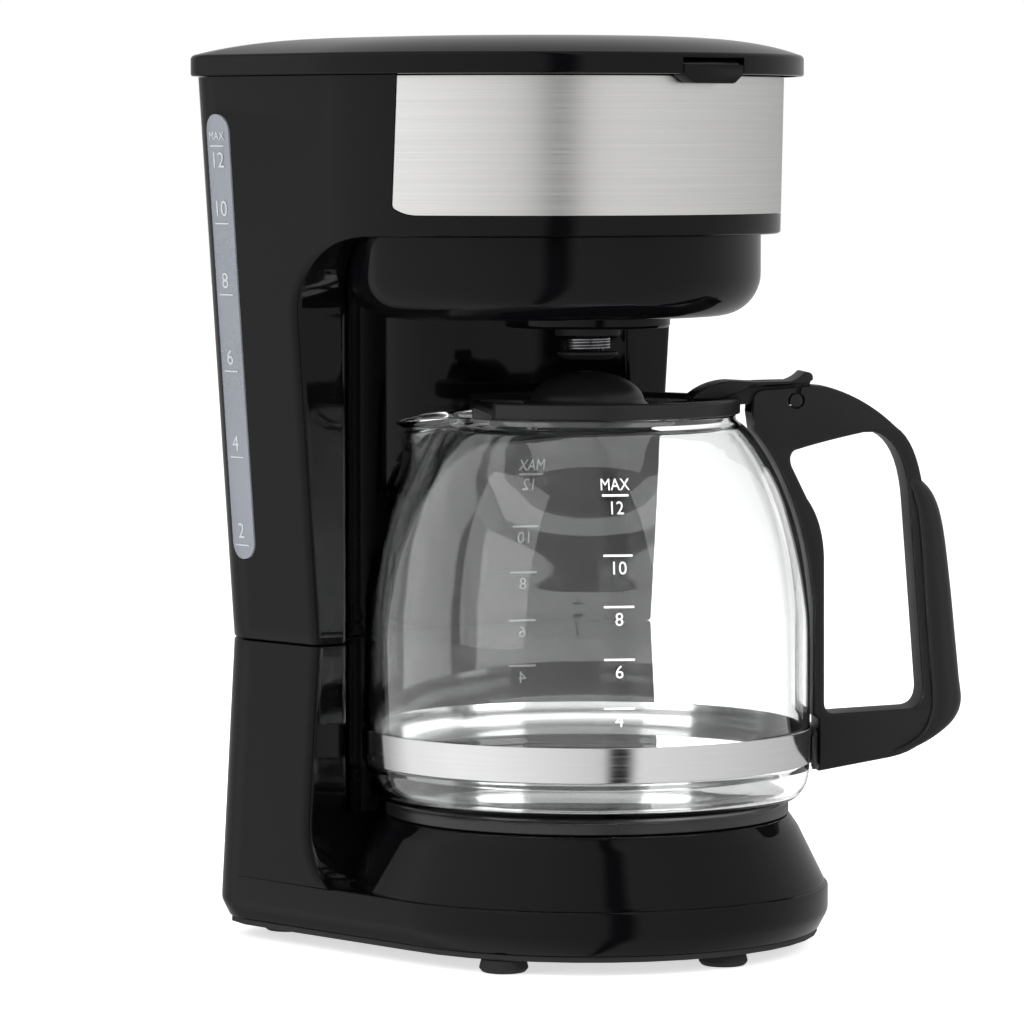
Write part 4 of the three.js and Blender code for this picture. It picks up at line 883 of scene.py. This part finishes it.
def makeInlet():
    low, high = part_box("cord_inlet")
    x, z, rear = (low.x + high.x) / 2, (low.z + high.z) / 2, high.y

    def place(a, b, along):
        return Vector((x + a * mm, rear - along * mm, z + b * mm))

    profile = rounded([
        (4, 9.9), (6, 9.9, 0.4), (6, 3.1), (7.5, 3.1, 0.3), (7.5, 1.2, 0.9), (6.3, 0, 0.8), (4, 0, 1)], 5)
    addPiece(meshObject("inlet_bush", turned(profile, 80, place)), "machine", "black_rubber", "cord_inlet")


# brewing parts

def makeBrewing():
    deckHigh = 291.7
    rimLow, rimHigh = deckHigh + gap, deckHigh + 2 + gap
    cup = rounded([
        (6.4, 223), (8.2, 223, 0.4), (8.2, 227), (34, 227, 3), (40, 233, 4), (51.4, rimLow),
        (54.8, rimLow, 0.5), (54.8, rimHigh, 0.7), (49.8, rimHigh, 0.7), (38.2, 233.8, 4), (33.2, 228.8, 3),
        (6.4, 228.8)], 5)
    addPiece(meshObject("basket_cup", turned(cup, 160)), "machine", "matt_black", "brew_basket")
    low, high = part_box("mesh_filter")
    top, rim = high.z / mm, (high.x - low.x) / 2 / mm
    foot = low.z / mm
    thin = rounded([(0, foot), (33.2, foot, 3), (37.4, foot + 4, 3), (rim - 0.9, top - 1.2),
                    (rim, top - 1.2, 0.3), (rim, top, 0.5), (rim - 2.4, top, 0.4), (rim - 2.4, top - 2),
                    (36.2, foot + 5, 3), (32.6, foot + 1.2, 3), (0, foot + 1.2)], 5, closed=False)
    mesh = turned(thin, 160)
    handle = []
    for s in steps(-rim + 2, rim - 2, 40):
        rise = 1.4 * math.cos(s / rim * math.pi / 2)
        handle.append([at(s, -5.5, top - 2 + rise), at(s, -2.8, top - 2 + rise),
                       at(s, -2.8, top - 0.6 + rise),
                       at(s, -5.5, top - 0.6 + rise)])
    other = [[Vector((p.x, 2 * axisY - p.y, p.z)) for p in ring] for ring in handle]
    addPiece(meshObject("filter_cup", gathered([mesh, skin(handle), skin(other)])), "machine", "gold_mesh",
             "mesh_filter")

    low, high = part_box("valve_seat")
    seat = rounded([(5, low.z / mm, 0.5), (11.5, low.z / mm, 0.6), (11.5, high.z / mm, 0.4),
                    (5, high.z / mm, 0.4)])
    addPiece(meshObject("drip_seat", turned(seat, 96)), "machine", "matt_black", "valve_seat")
    low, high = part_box("valve_plunger")
    bottom, top = low.z / mm, high.z / mm
    stem = rounded([
        (0, bottom + 0.5), (4, bottom + 0.5, 0.4), (5, bottom, 0.3), (8.2, bottom, 0.8),
        (10.6, bottom + 1.6, 0.4), (10.6, bottom + 2.6, 0.4), (4.2, bottom + 2.6, 0.6), (4.2, top, 0.9),
        (0, top)], 5, closed=False)
    addPiece(meshObject("drip_plunger", turned(stem, 96)), "valve", "matt_black", "valve_plunger")


def makeSpring():
    low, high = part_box("valve_spring")
    wire = 0.55
    radius = (high.x - low.x) / 2 / mm - wire
    first, last = low.z / mm + wire, high.z / mm - wire
    count, turns = 220, 4
    path = []
    for i in range(count + 1):
        a = 2 * math.pi * turns * i / count
        path.append((radius * math.cos(a), radius * math.sin(a),
                     mix(first, last, ease(0, count, i) * 0.35 + 0.65 * i / count)))
    addPiece(meshObject("drip_spring", tube(path, wire, 10), 60), "machine", "fastener_steel", "valve_spring")


# lid

lid = {
    "radius": 99, "rearHalf": 99.4, "rear": 114.6, "low": 305.3, "rim": 312.9, "crown": 6.4, "skin": 2.4,
    "tab": 14, "tabDrop": 3.2, "hingeY": 119.2, "hingeZ": 302.6, "barrel": 3.6, "knuckle": 13, "hingeX": 46,
}


def lidRing(inset):
    return planRing(lid["radius"], tower["centre"], lid["rearHalf"], lid["rear"], tower["corner"], inset)


def knuckle(fromX, toX, arm):
    # a hinge barrel with its arm, as one outline carried along X
    y, z, radius = lid["hingeY"], lid["hingeZ"], lid["barrel"]
    outline = [(y + radius * math.cos(a), z + radius * math.sin(a)) for a in arm["turn"]] + arm["points"]
    rings = [[at(x, mix(y, p, s), mix(z, q, s)) for p, q in outline] for x, s in (
        (fromX, 0.94), (fromX + 0.3, 1), (toX - 0.3, 1), (toX, 0.94))]
    return skin(rings)


def makeLid():
    low, rim, crown, deep = lid["low"], lid["rim"], lid["crown"], lid["skin"]
    middle = (0, 22)

    def crownRing(k, lift=0.0, inset=1.7):
        ring = lidRing(inset)
        z = rim + lift + crown * (1 - k ** 5)
        return [at(mix(middle[0], x, k), mix(middle[1], y, k), z) for x, y in ring]

    rings = [raisedRing(lidRing(inset), z) for z, inset in (
        (low, 0.9), (low + 0.12, 0.4), (low + 0.45, 0.1), (low + 0.9, 0), (rim - 1.6, 0), (rim - 1.1, 0.12),
        (rim - 0.55, 0.5), (rim - 0.15, 1.1))]
    rings += [crownRing(k) for k in (1, 0.995, 0.985, 0.97, 0.95, 0.925, 0.9, 0.87, 0.84, 0.8, 0.75, 0.7,
                                     0.62, 0.54, 0.44, 0.34, 0.22, 0.1)]
    rings.append([at(*middle, rim + crown)] * len(rings[0]))
    rings.append([at(*middle, rim + crown - deep)] * len(rings[0]))
    rings += [crownRing(k, -deep) for k in (0.2, 0.4, 0.6, 0.8, 0.93)]
    rings += [raisedRing(lidRing(inset), z) for z, inset in ((rim - deep - 0.4, 4), (rim - deep - 2, deep),
                                                             (low, deep))]
    shell = meshObject("lid_top", skin(rings, loop=True))
    front = tower["centre"] - lid["radius"]
    notch = lid["tab"] + gap
    near, back = front - 5, front + 6.4
    block = [[at(x, y, z) for x, y in ((-notch, near), (notch, near), (notch, back), (-notch, back))]
             for z in (low - 1, rim - 1.9)]
    shell = carve(shell, meshObject("notch", skin(block)))
    far = lid["hingeX"] + lid["knuckle"] / 2 + gap
    arms = {"turn": steps(-math.pi * 0.62, math.pi * 0.02, 14),
            "points": [(lid["hingeY"] + 3.5, low + 3.4), (lid["hingeY"] + 2.6, low + 4.4),
                       (lid["rear"] - 1.5, low + 4.4), (lid["rear"] - 1.5, low + 0.35),
                       (lid["hingeY"] - 3.5, low + 0.3)]}
    lugs = [meshObject("lug", knuckle(*span, arms)) for span in (
        (far, far + lid["knuckle"]), (-far - lid["knuckle"], -far))]
    addPiece(joined(shell, *lugs), "lid", "gloss_black", "lid_shell")

    # the thumb tab: a block with rounded edges and a finger scoop over it
    half, drop = lid["tab"], lid["tabDrop"]
    face = [(-half, rim - 4.4, 0.4), (-half, low - 0.2, 1.2), (-half + 4.6, low - drop, 3),
            (half - 4.6, low - drop, 3), (half, low - 0.2, 1.2), (half, rim - 4.4, 0.4)]
    outline = rounded(face, 6)
    middleZ = (low + rim) / 2
    deepBy = ((-0.15, 0.955), (0.05, 0.985), (0.5, 1), (5.4, 1), (5.7, 0.98))
    rings = []
    for deepness, s in deepBy:
        reach = lid["radius"] - deepness
        rings.append([at(x * s, tower["centre"] - math.sqrt(reach ** 2 - (x * s) ** 2), mix(middleZ, z, s))
                      for x, z in outline])
    addPiece(meshObject("thumb_tab", skin(rings)), "lid", "gloss_black", "lid_tab")


makeWindow()
makeBowl()
makePlate()
makeFeet()
makeInlet()
makeBrewing()
makeSpring()
makeLid()
print("machine pieces made")


# the carafe; its own frame has the handle along its first axis

jug = {
    "radius": 78.4, "wall": 2.3, "bottom": 51.5, "rim": 187, "neck": 52, "spout": 16, "spoutHalf": 26,
    "spoutDrop": 3, "turn": -34,
    "bandLow": 65.5, "bandHigh": 77.6, "bandThick": 0.7,
}
jugTurn = math.radians(jug["turn"])


def inJug(x, y, z):
    return at(x * math.cos(jugTurn) - y * math.sin(jugTurn), x * math.sin(jugTurn) + y * math.cos(jugTurn), z)


def upright(u, v, w):
    # the plane through the handle: out from the axis, up, and sideways
    return inJug(u, w, v)


def glassSide():
    r, z, n, rim = jug["radius"], jug["bottom"], jug["neck"], jug["rim"]
    points = [
        (r - 22, z), (r - 7, z + 0.6), (r - 2.6, z + 3.4), (r - 0.4, z + 9), (r, z + 20), (r, z + 56),
        (r - 0.7, z + 70), (r - 3.4, z + 89), (r - 8, z + 105), (r - 13.6, z + 117.5), (r - 18.6, z + 125.6),
        (n + 3.4, rim - 4.4), (n + 0.6, rim - 2.2), (n, rim - 0.4)]
    return through(points, 8)


def glassRadius(z):
    side = glassSide()
    for (r0, z0), (r1, z1) in zip(side, side[1:]):
        if z0 <= z <= z1:
            return mix(r0, r1, (z - z0) / max(1e-9, z1 - z0))
    return jug["neck"]


def spoutReach(z, angle):
    off = abs(math.atan2(math.sin(angle - math.pi), math.cos(angle - math.pi)))
    opened = max(0, 1 - off / math.radians(jug["spoutHalf"]))
    high = max(0, 1 - (jug["rim"] - z) / 24)
    return jug["spout"] * opened * opened * (3 - 2 * opened) * high * high


def makeGlass():
    side = glassSide()
    wall, rim = jug["wall"], jug["rim"]
    outer = [(0, jug["bottom"] + 0.9), (40, jug["bottom"] + 0.7), (50, jug["bottom"] + 0.25)] + side
    inner = []
    for i, (r, z) in enumerate(side):
        a, b = side[max(0, i - 1)], side[min(len(side) - 1, i + 1)]
        run, rise = b[0] - a[0], b[1] - a[1]
        size = math.hypot(run, rise)
        thick = wall * (1 if z > jug["bottom"] + 12 else 1.15)
        spot = (r - rise / size * thick, z + run / size * thick)
        if spot[0] > 58 or z > jug["bottom"] + 20:
            inner.append(spot)
    inner = [(0, jug["bottom"] + wall + 1.2), (40, jug["bottom"] + wall + 1)] + inner
    lip = [(jug["neck"] + 0.05, rim - 0.1), (jug["neck"] - 0.45, rim + 0.1), (jug["neck"] - 1.1, rim + 0.15),
           (jug["neck"] - 1.8, rim - 0.05)]
    profile = outer + lip + inner[::-1]
    count = 224
    rings = []
    for r, z in profile:
        ring = []
        for a in circle(count):
            reach = r + (spoutReach(z, a) if z > 120 else 0)
            drop = jug["spoutDrop"] * (spoutReach(z, a) / jug["spout"]) ** 2 if z > 150 else 0
            ring.append(inJug(reach * math.cos(a), reach * math.sin(a), min(rim, z) - drop))
        rings.append(ring)
    glass = meshObject("jug_glass", skin(rings, caps=False), 60)
    addPiece(glass, "carafe", "clear_glass", "carafe_glass")


scale = {
    "rows": [(162.6, "12"), (142.6, "10"), (125.4, "8"), (107.6, "6"), (91.0, "4")],
    "line": 10.5, "thick": 0.75, "size": 6.2, "maxSize": 5.6, "drop": 4.4, "places": (-90, 100),
}


def makeScale():
    parts = []
    for where in scale["places"]:
        start = math.radians(where)

        def spot(height):
            def place(s, up, out):
                z = height + up
                radius = glassRadius(z) + 0.05 + out
                a = start + s / jug["radius"]
                return inJug(radius * math.cos(a), radius * math.sin(a), z)
            return place

        for height, words in scale["rows"]:
            parts.append(bar(scale["line"], scale["thick"], spot(height), 0.04))
            parts.append(lettering(words, scale["size"], spot(height - scale["drop"]), 0.04))
        parts.append(lettering("MAX", scale["maxSize"], spot(scale["rows"][0][0] + 3.4), 0.04))
    addPiece(meshObject("jug_scale", gathered(parts)), "carafe", "clear_glass", paint="printed_white")


def makeBand():
    inner = jug["radius"] + gap
    outer = inner + jug["bandThick"]
    low, high = jug["bandLow"], jug["bandHigh"]
    profile = rounded([(inner, low, 0.15), (outer, low, 0.3), (outer, high, 0.3), (inner, high, 0.15)], 4)
    addPiece(meshObject("steel_ring", turned(profile, 240, inJug), 50), "carafe", "polished_band",
             "carafe_band")


def makeSaddle():
    # a curved pad that hugs the band, thicker in its middle
    low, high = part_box("handle_saddle")
    bottom, top = low.z / mm, high.z / mm
    inner = jug["radius"] + gap + jug["bandThick"] + 0.25
    half = math.radians(17)
    rings = []
    for a in steps(-half, half, 36):
        edge = min(1, (half - abs(a)) / 0.05)
        soft = math.sqrt(max(0, 1 - (1 - edge) ** 2))
        thick = 0.5 + 0.95 * soft
        shrink = 1.2 * (1 - soft)
        profile = rounded([(inner, bottom + shrink), (inner + thick, bottom + shrink, 0.6),
                           (inner + thick, top - shrink, 0.6), (inner, top - shrink)], 4)
        rings.append([inJug(r * math.cos(a), r * math.sin(a), z) for r, z in profile])
    addPiece(meshObject("saddle_pad", skin(rings)), "carafe", "matt_black", "handle_saddle",
             paint="handle_black")


handle = {"half": 8.5, "edge": 0.9, "gripHalf": 10, "pin": (73, 191.6), "pocketHalf": 6.5}


def ramp(t):
    # a quarter circle's rise
    t = min(1, max(0, t))
    return math.sqrt(1 - (1 - t) ** 2)


def quad(start, control, end, count=10):
    return bend(start, control, end, count)[1:]


def makeHandle():
    inner, strap = 81.5, 79.0
    shoulder = [(glassRadius(z) + 1.3, z) for z in steps(181, 120, 16)]
    outline = [(inner, 60.5), (107, 65)] + quad((107, 65), (124.5, 68.5), (124, 84)) + [(119.5, 150)] \
        + quad((119.5, 150), (118, 176), (108.8, 182)) + quad((108.8, 182), (98, 192.5), (84, 196.4)) \
        + [(79.5, 196.8), (61, 195.4)] + quad((61, 195.4), (58.4, 195),
                                              (57.6, 192.4)) + [(57.2, 187.4)] + shoulder \
        + [(strap + 0.3, 118), (strap + 0.3, 80.6), (inner, 78.8)]
    hole = [(83.4, 84.5)] + quad((83.4, 84.5), (83.8, 80.9), (87, 80.9)) + [(113.5, 82.3)] \
        + quad((113.5, 82.3), (118.8, 83), (118.6, 90)) + [(113.6, 155)] + quad((113.6, 155), (112, 177.5),
                                                                                (101, 180.3)) \
        + [(97, 180.2)] + quad((97, 180.2), (82, 177), (72.5, 174)) + quad((72.5, 174), (70.2, 172.4),
                                                                           (71.4, 168.5)) \
        + [(77, 157)] + quad((77, 157), (82.8, 149), (83.2, 136))
    body = cutFlat(outline, [hole], handle["half"], handle["edge"], upright, "body")
    made = meshObject("handle_loop", body, 45)
    # the lever's pocket leaves a cheek on each side, with the pin's keyhole
    cheek = handle["half"] - handle["pocketHalf"]
    pocket = [(79.5, 200), (79.4, 196.8), (78.6, 189.3), (67.6, 189.1), (56, 187.2), (50, 187), (50, 200)]
    pinU, pinV = handle["pin"]
    keyhole = [(pinU + 3 * math.cos(a), pinV + 3 * math.sin(a)) for a in steps(math.radians(100),
                                                                               math.radians(420), 30)]
    keyhole += [(pinU + 2.6, 199), (pinU + 0.6, 199)]
    pinHead = [(pinU + 2.3 * math.cos(a), pinV + 2.3 * math.sin(a)) for a in circle(32)]
    ways = [skin([[upright(u, v, w) for u, v in pocket] for w in (-handle["pocketHalf"],
                                                                  handle["pocketHalf"])])]
    pins = []
    for middle in (handle["half"] - cheek / 2, cheek / 2 - handle["half"]):
        def across(u, v, w, middle=middle):
            return upright(u, v, w + middle)

        ways.append(skin([[across(u, v, w) for u, v in keyhole] for w in (-cheek / 2 - 0.2, cheek)]))
        pins.append(meshObject("pin_head", cutFlat(pinHead, [], cheek / 2 - 0.1, 0.25, across, "pin", 2), 45))
    made = carve(made, *[meshObject("way", way) for way in ways], sharp=45)
    made = joined(made, *pins)
    addPiece(made, "carafe", "gloss_black", "handle_body", paint="handle_black")

    # the grip: a round back that swells out of the loop
    front = through([(107.6, 67.6), (112.5, 69.8), (117.4, 73.4), (120.2, 78.6), (121.2, 85), (120.6, 94),
                     (119.6, 106), (118.0, 128), (116.4, 148), (114.6, 157), (112.6, 163.2)], 8)
    back = through([(108.4, 65.4), (116.5, 68.1), (124.6, 72.5), (131, 78), (133.6, 84.5), (132.7, 94),
                    (131.5, 106), (129.2, 128), (126.4, 148), (122.6, 158.8), (115.9, 165.6)], 8)
    rings = []
    last = len(front) - 1
    for i, ((fu, fv), (bu, bv)) in enumerate(zip(front, back)):
        t = i / last
        swell = min(ramp(t / 0.2), ramp((1 - t) / 0.12))
        half = mix(8.0, handle["gripHalf"], swell)
        ring = []
        for a in circle(48):
            c, s = math.cos(a), math.sin(a)
            w = half * math.copysign(abs(c) ** (0.75 if s > 0 else 0.35), c)
            d = 0.42 + (0.58 * abs(s) ** 0.8 if s > 0 else -0.42 * abs(s) ** 0.35)
            ring.append(upright(mix(fu, bu, d), mix(fv, bv, d), w))
        rings.append(ring)
    addPiece(meshObject("grip_back", skin(rings), 60), "carafe", "matt_black", "grip_pad",
             paint="handle_black")


cap = {"radius": 53.6, "bottom": 187.3, "top": 192.6, "dome": 20, "domeTop": 202, "spoutCut": 37.3}


def makeCap():
    # the carafe's lid: a dished ring with ribs, a bell in the middle and the thumb lever
    radius, bottom, top, dome, peak = cap["radius"], cap["bottom"], cap["top"], cap["dome"], cap["domeTop"]
    plug = jug["neck"] - jug["wall"] - 0.8
    profile = rounded([
        (3,
         peak - 0.1),
         *[(dome * math.sin(a), top - 1.6 + (peak - top + 1.6) * math.cos(a)) for a in steps(0.3, 1.5, 14)],
        (dome + 2, top - 2.6, 1), (radius - 7.4, top - 2.6, 1.2), (radius - 5.4, top, 0.8),
        (radius, top, 1.2), (radius, bottom, 0.5), (plug - 0.6, bottom, 0.4), (plug - 2, bottom - 4, 1),
        (plug - 4, bottom - 4, 0.6), (plug - 4, top - 4.6, 0.6), (dome - 2, top - 4.6, 1),
        (dome - 3.4, top - 1, 3), (dome * 0.72, peak - 5.6, 3), (dome * 0.4, peak - 3, 4), (3, peak - 2.4)],
        6)
    cut = cap["spoutCut"]
    pourWay = [[inJug(x, y, z) for x, y in ((-80, -70), (-cut, -70), (-cut, 70),
                                            (-80, 70))] for z in (bottom - 9, peak)]
    body = carve(meshObject("cap_ring", turned(profile, 200, inJug)), meshObject("pour_way", skin(pourWay)),
                 sharp=42)
    ribs = []
    for a in circle(72):
        if abs(math.sin(a / 2)) < 0.12 or (radius - 8) * math.cos(a) < -cut + 1:
            continue
        section = []
        for r, h in ((dome + 6, 0), (dome + 7, 0.9), (radius - 9.4, 0.9), (radius - 8.4, 0)):
            ring = []
            for s, up in ((-0.55, -0.3), (-0.35, h), (0.35, h), (0.55, -0.3)):
                turn = a + s / r
                ring.append(inJug(r * math.cos(turn), r * math.sin(turn), top - 2.6 + up))
            section.append(ring)
        ribs.append(skin(section))
    ribbing = meshObject("cap_ribs", gathered(ribs))
    pivotZ = handle["pin"][1]
    arm = [(36, top - 2.4), (36.2, top + 0.6)] + quad((36.2, top + 0.6), (42, top + 5.6), (50, top + 6)) \
        + [(57, top + 5.4), (64, top + 4.4), (70, top + 4.9)] + quad((70, top + 4.9), (73.6, top + 5.6),
                                                                     (76.2, top + 8.9)) \
        + quad((76.2, top + 8.9), (79.2, top + 9.2), (78.8, top + 6.2)) + [(77, pivotZ + 1.6),
                                                                           (74.8, pivotZ - 0.6)] \
        + quad((74.8, pivotZ - 0.6), (73, pivotZ - 1.6), (70, pivotZ - 1.4)) + [(60, top - 2.0),
                                                                                (52, top - 2.6)]
    lever = meshObject("cap_lever", cutFlat(arm, [], 6.1, 1, upright, "lever"), 45)
    pad = [(36, top - 0.6), (36.2, top + 0.6)] + quad((36.2, top + 0.6), (42, top + 5.6), (50, top + 6)) \
        + [(57, top + 5.6), (64, top + 5.4), (70, top + 5.6)] + quad((70, top + 5.6), (73.6, top + 6.2),
                                                                     (76.2, top + 9)) \
        + quad((76.2, top + 9), (79.2, top + 9.2), (78.8, top + 6.2)) + [(77, top + 5.2)] \
        + [(60, top + 4.9), (55, top + 3.2), (46, top - 0.6)]
    thumb = meshObject("thumb_pad", cutFlat(pad, [], 9, 0.7, upright, "pad"), 45)
    addPiece(joined(body, ribbing, lever, thumb), "carafe_lid", "gloss_black", "carafe_lid",
             paint="handle_black")


makeGlass()
makeScale()
makeBand()
makeSaddle()
makeHandle()
makeCap()
print("carafe made")


# the rest of the CAD, with rounded edges or as it is

for node in ("switch_frame", "base_cover", "top_deck", "spray_arm", "shower_plate", "terminal_block",
             "heater_clamp", "lid_liner"):
    softened(node, "lid" if node == "lid_liner" else "machine", "ceramic" if node == "terminal_block" else
             "fastener_steel" if node == "heater_clamp" else "matt_black")
softened("power_rocker", "rocker", "gloss_black", 0.6)
shown = [name for name, piece in nodes.items() if not piece.hide_render]
for node in shown:
    for slot in nodes[node].material_slots:
        slot.material = paints[slot.material.name.split(".")[0]]
print("CAD pieces kept:", len(shown))


# camera, floor and light

studio = {
    "azimuth": 42, "distance": 1911, "height": 282, "look": (0.65724377, 0.75063328, -0.06767794),
    "focal": 5446,
    "white": 1.0, "fill": 0.6,
    "panels": [(-180, 0.3), (-165, 0.4), (-145, 0.9), (-112, 1), (-90, 0.95), (-60, 0.8), (-34, 0.66),
               (-29, 0.03), (-22, 0.03), (-16, 0.8), (20, 0.95), (60, 1.05), (100, 0.95), (122, 0.75),
               (145, 0.36), (180, 0.3)],
}


def makeStage():
    turn = math.radians(studio["azimuth"])
    camera = bpy.data.objects.new("camera", bpy.data.cameras.new("camera"))
    bpy.context.scene.collection.objects.link(camera)
    camera.location = at(-studio["distance"] * math.sin(turn), -studio["distance"] * math.cos(turn),
                         studio["height"])
    camera.rotation_mode = "QUATERNION"
    camera.rotation_quaternion = Vector(studio["look"]).to_track_quat("-Z", "Y")
    camera.data.sensor_width = 36
    camera.data.lens = studio["focal"] / 1024 * 36
    camera.data.clip_start, camera.data.clip_end = 0.05, 60
    bpy.context.scene.camera = camera

    floor = Paint("floor", Roughness=0.8)
    tint = floor.noise(3, 2)
    floor.feed(Base_Color=floor.blendColours(tint, grey(0.93), grey(0.95)), Emission_Color=grey(1))
    floor.shader.inputs["Emission Strength"].default_value = 0.62
    rings = [[Vector((r * math.cos(a), r * math.sin(a), -0.0002)) for a in circle(96)] for r in (9, 5, 2)]
    rings.append([Vector((0, 0, -0.0002))] * 96)
    ground = meshObject("ground", skin(rings, caps=False))
    ground.data.materials.append(paints["floor"])
    ground.visible_glossy = False


def softbox(name, azimuth, elevation, distance, width, height, power, aim=(0, 0, 0.16)):
    # azimuth is measured like the views: 0 is in front, 90 on the right
    data = bpy.data.lights.new(name, "AREA")
    data.shape, data.size, data.size_y, data.energy = "RECTANGLE", width, height, power
    light = bpy.data.objects.new(name, data)
    bpy.context.scene.collection.objects.link(light)
    a, e = math.radians(azimuth), math.radians(elevation)
    light.location = Vector(aim) + distance * Vector((math.sin(a) * math.cos(e), -math.cos(a) * math.cos(e),
                                                      math.sin(e)))
    light.rotation_mode = "QUATERNION"
    light.rotation_quaternion = (Vector(aim) - light.location).to_track_quat("-Z", "Y")
    light.visible_camera, light.visible_glossy = False, False
    return light


def makeLight():
    # a white surround for the eye and the glass; what shines sees panels all round, with gaps between them
    world = bpy.data.worlds.new("studio")
    bpy.context.scene.world = world
    world.use_nodes = True
    tree = world.node_tree
    background = tree.nodes["Background"]
    background.inputs["Color"].default_value = grey(1)
    rays = tree.nodes.new("ShaderNodeLightPath")
    way = tree.nodes.new("ShaderNodeSeparateXYZ")
    tree.links.new(tree.nodes.new("ShaderNodeTexCoord").outputs["Generated"], way.inputs[0])

    def maths(operation, a, b=0.0):
        made = tree.nodes.new("ShaderNodeMath")
        made.operation = operation
        for socket, value in zip(made.inputs, (a, b)):
            if isinstance(value, bpy.types.NodeSocket):
                tree.links.new(value, socket)
            else:
                socket.default_value = value
        return made.outputs[0]

    azimuth = maths("ARCTAN2", way.outputs["X"], maths("MULTIPLY", way.outputs["Y"], -1))
    panels = tree.nodes.new("ShaderNodeValToRGB")
    for i, (degrees, level) in enumerate(studio["panels"]):
        stops = panels.color_ramp.elements
        stop = stops[i] if i < 2 else stops.new(0.5)
        stop.position, stop.color = degrees / 360 + 0.5, grey(level)
    tree.links.new(maths("ADD", maths("DIVIDE", azimuth, 2 * math.pi), 0.5), panels.inputs[0])
    seen = maths("MAXIMUM", rays.outputs["Is Camera Ray"], rays.outputs["Is Transmission Ray"])
    glossy = maths("MULTIPLY", rays.outputs["Is Glossy Ray"], panels.outputs[0])
    soft = maths("MULTIPLY", maths("SUBTRACT", 1, rays.outputs["Is Glossy Ray"]), studio["fill"])
    lift = maths("MULTIPLY", maths("SUBTRACT", 1, seen), maths("ADD", glossy, soft))
    strength = maths("ADD", lift, maths("MULTIPLY", seen, studio["white"]))
    tree.links.new(strength, background.inputs["Strength"])

    softbox("left_box", -92, 20, 1.7, 1.2, 1.6, 16)
    softbox("right_box", 12, 22, 1.8, 1.2, 1.6, 18)
    softbox("top_box", -40, 78, 1.6, 1.6, 1.2, 14)
    scene = bpy.context.scene
    scene.view_settings.view_transform = "Standard"
    scene.view_settings.look = "None"


makeStage()
makeLight()
print("camera, floor and light set")
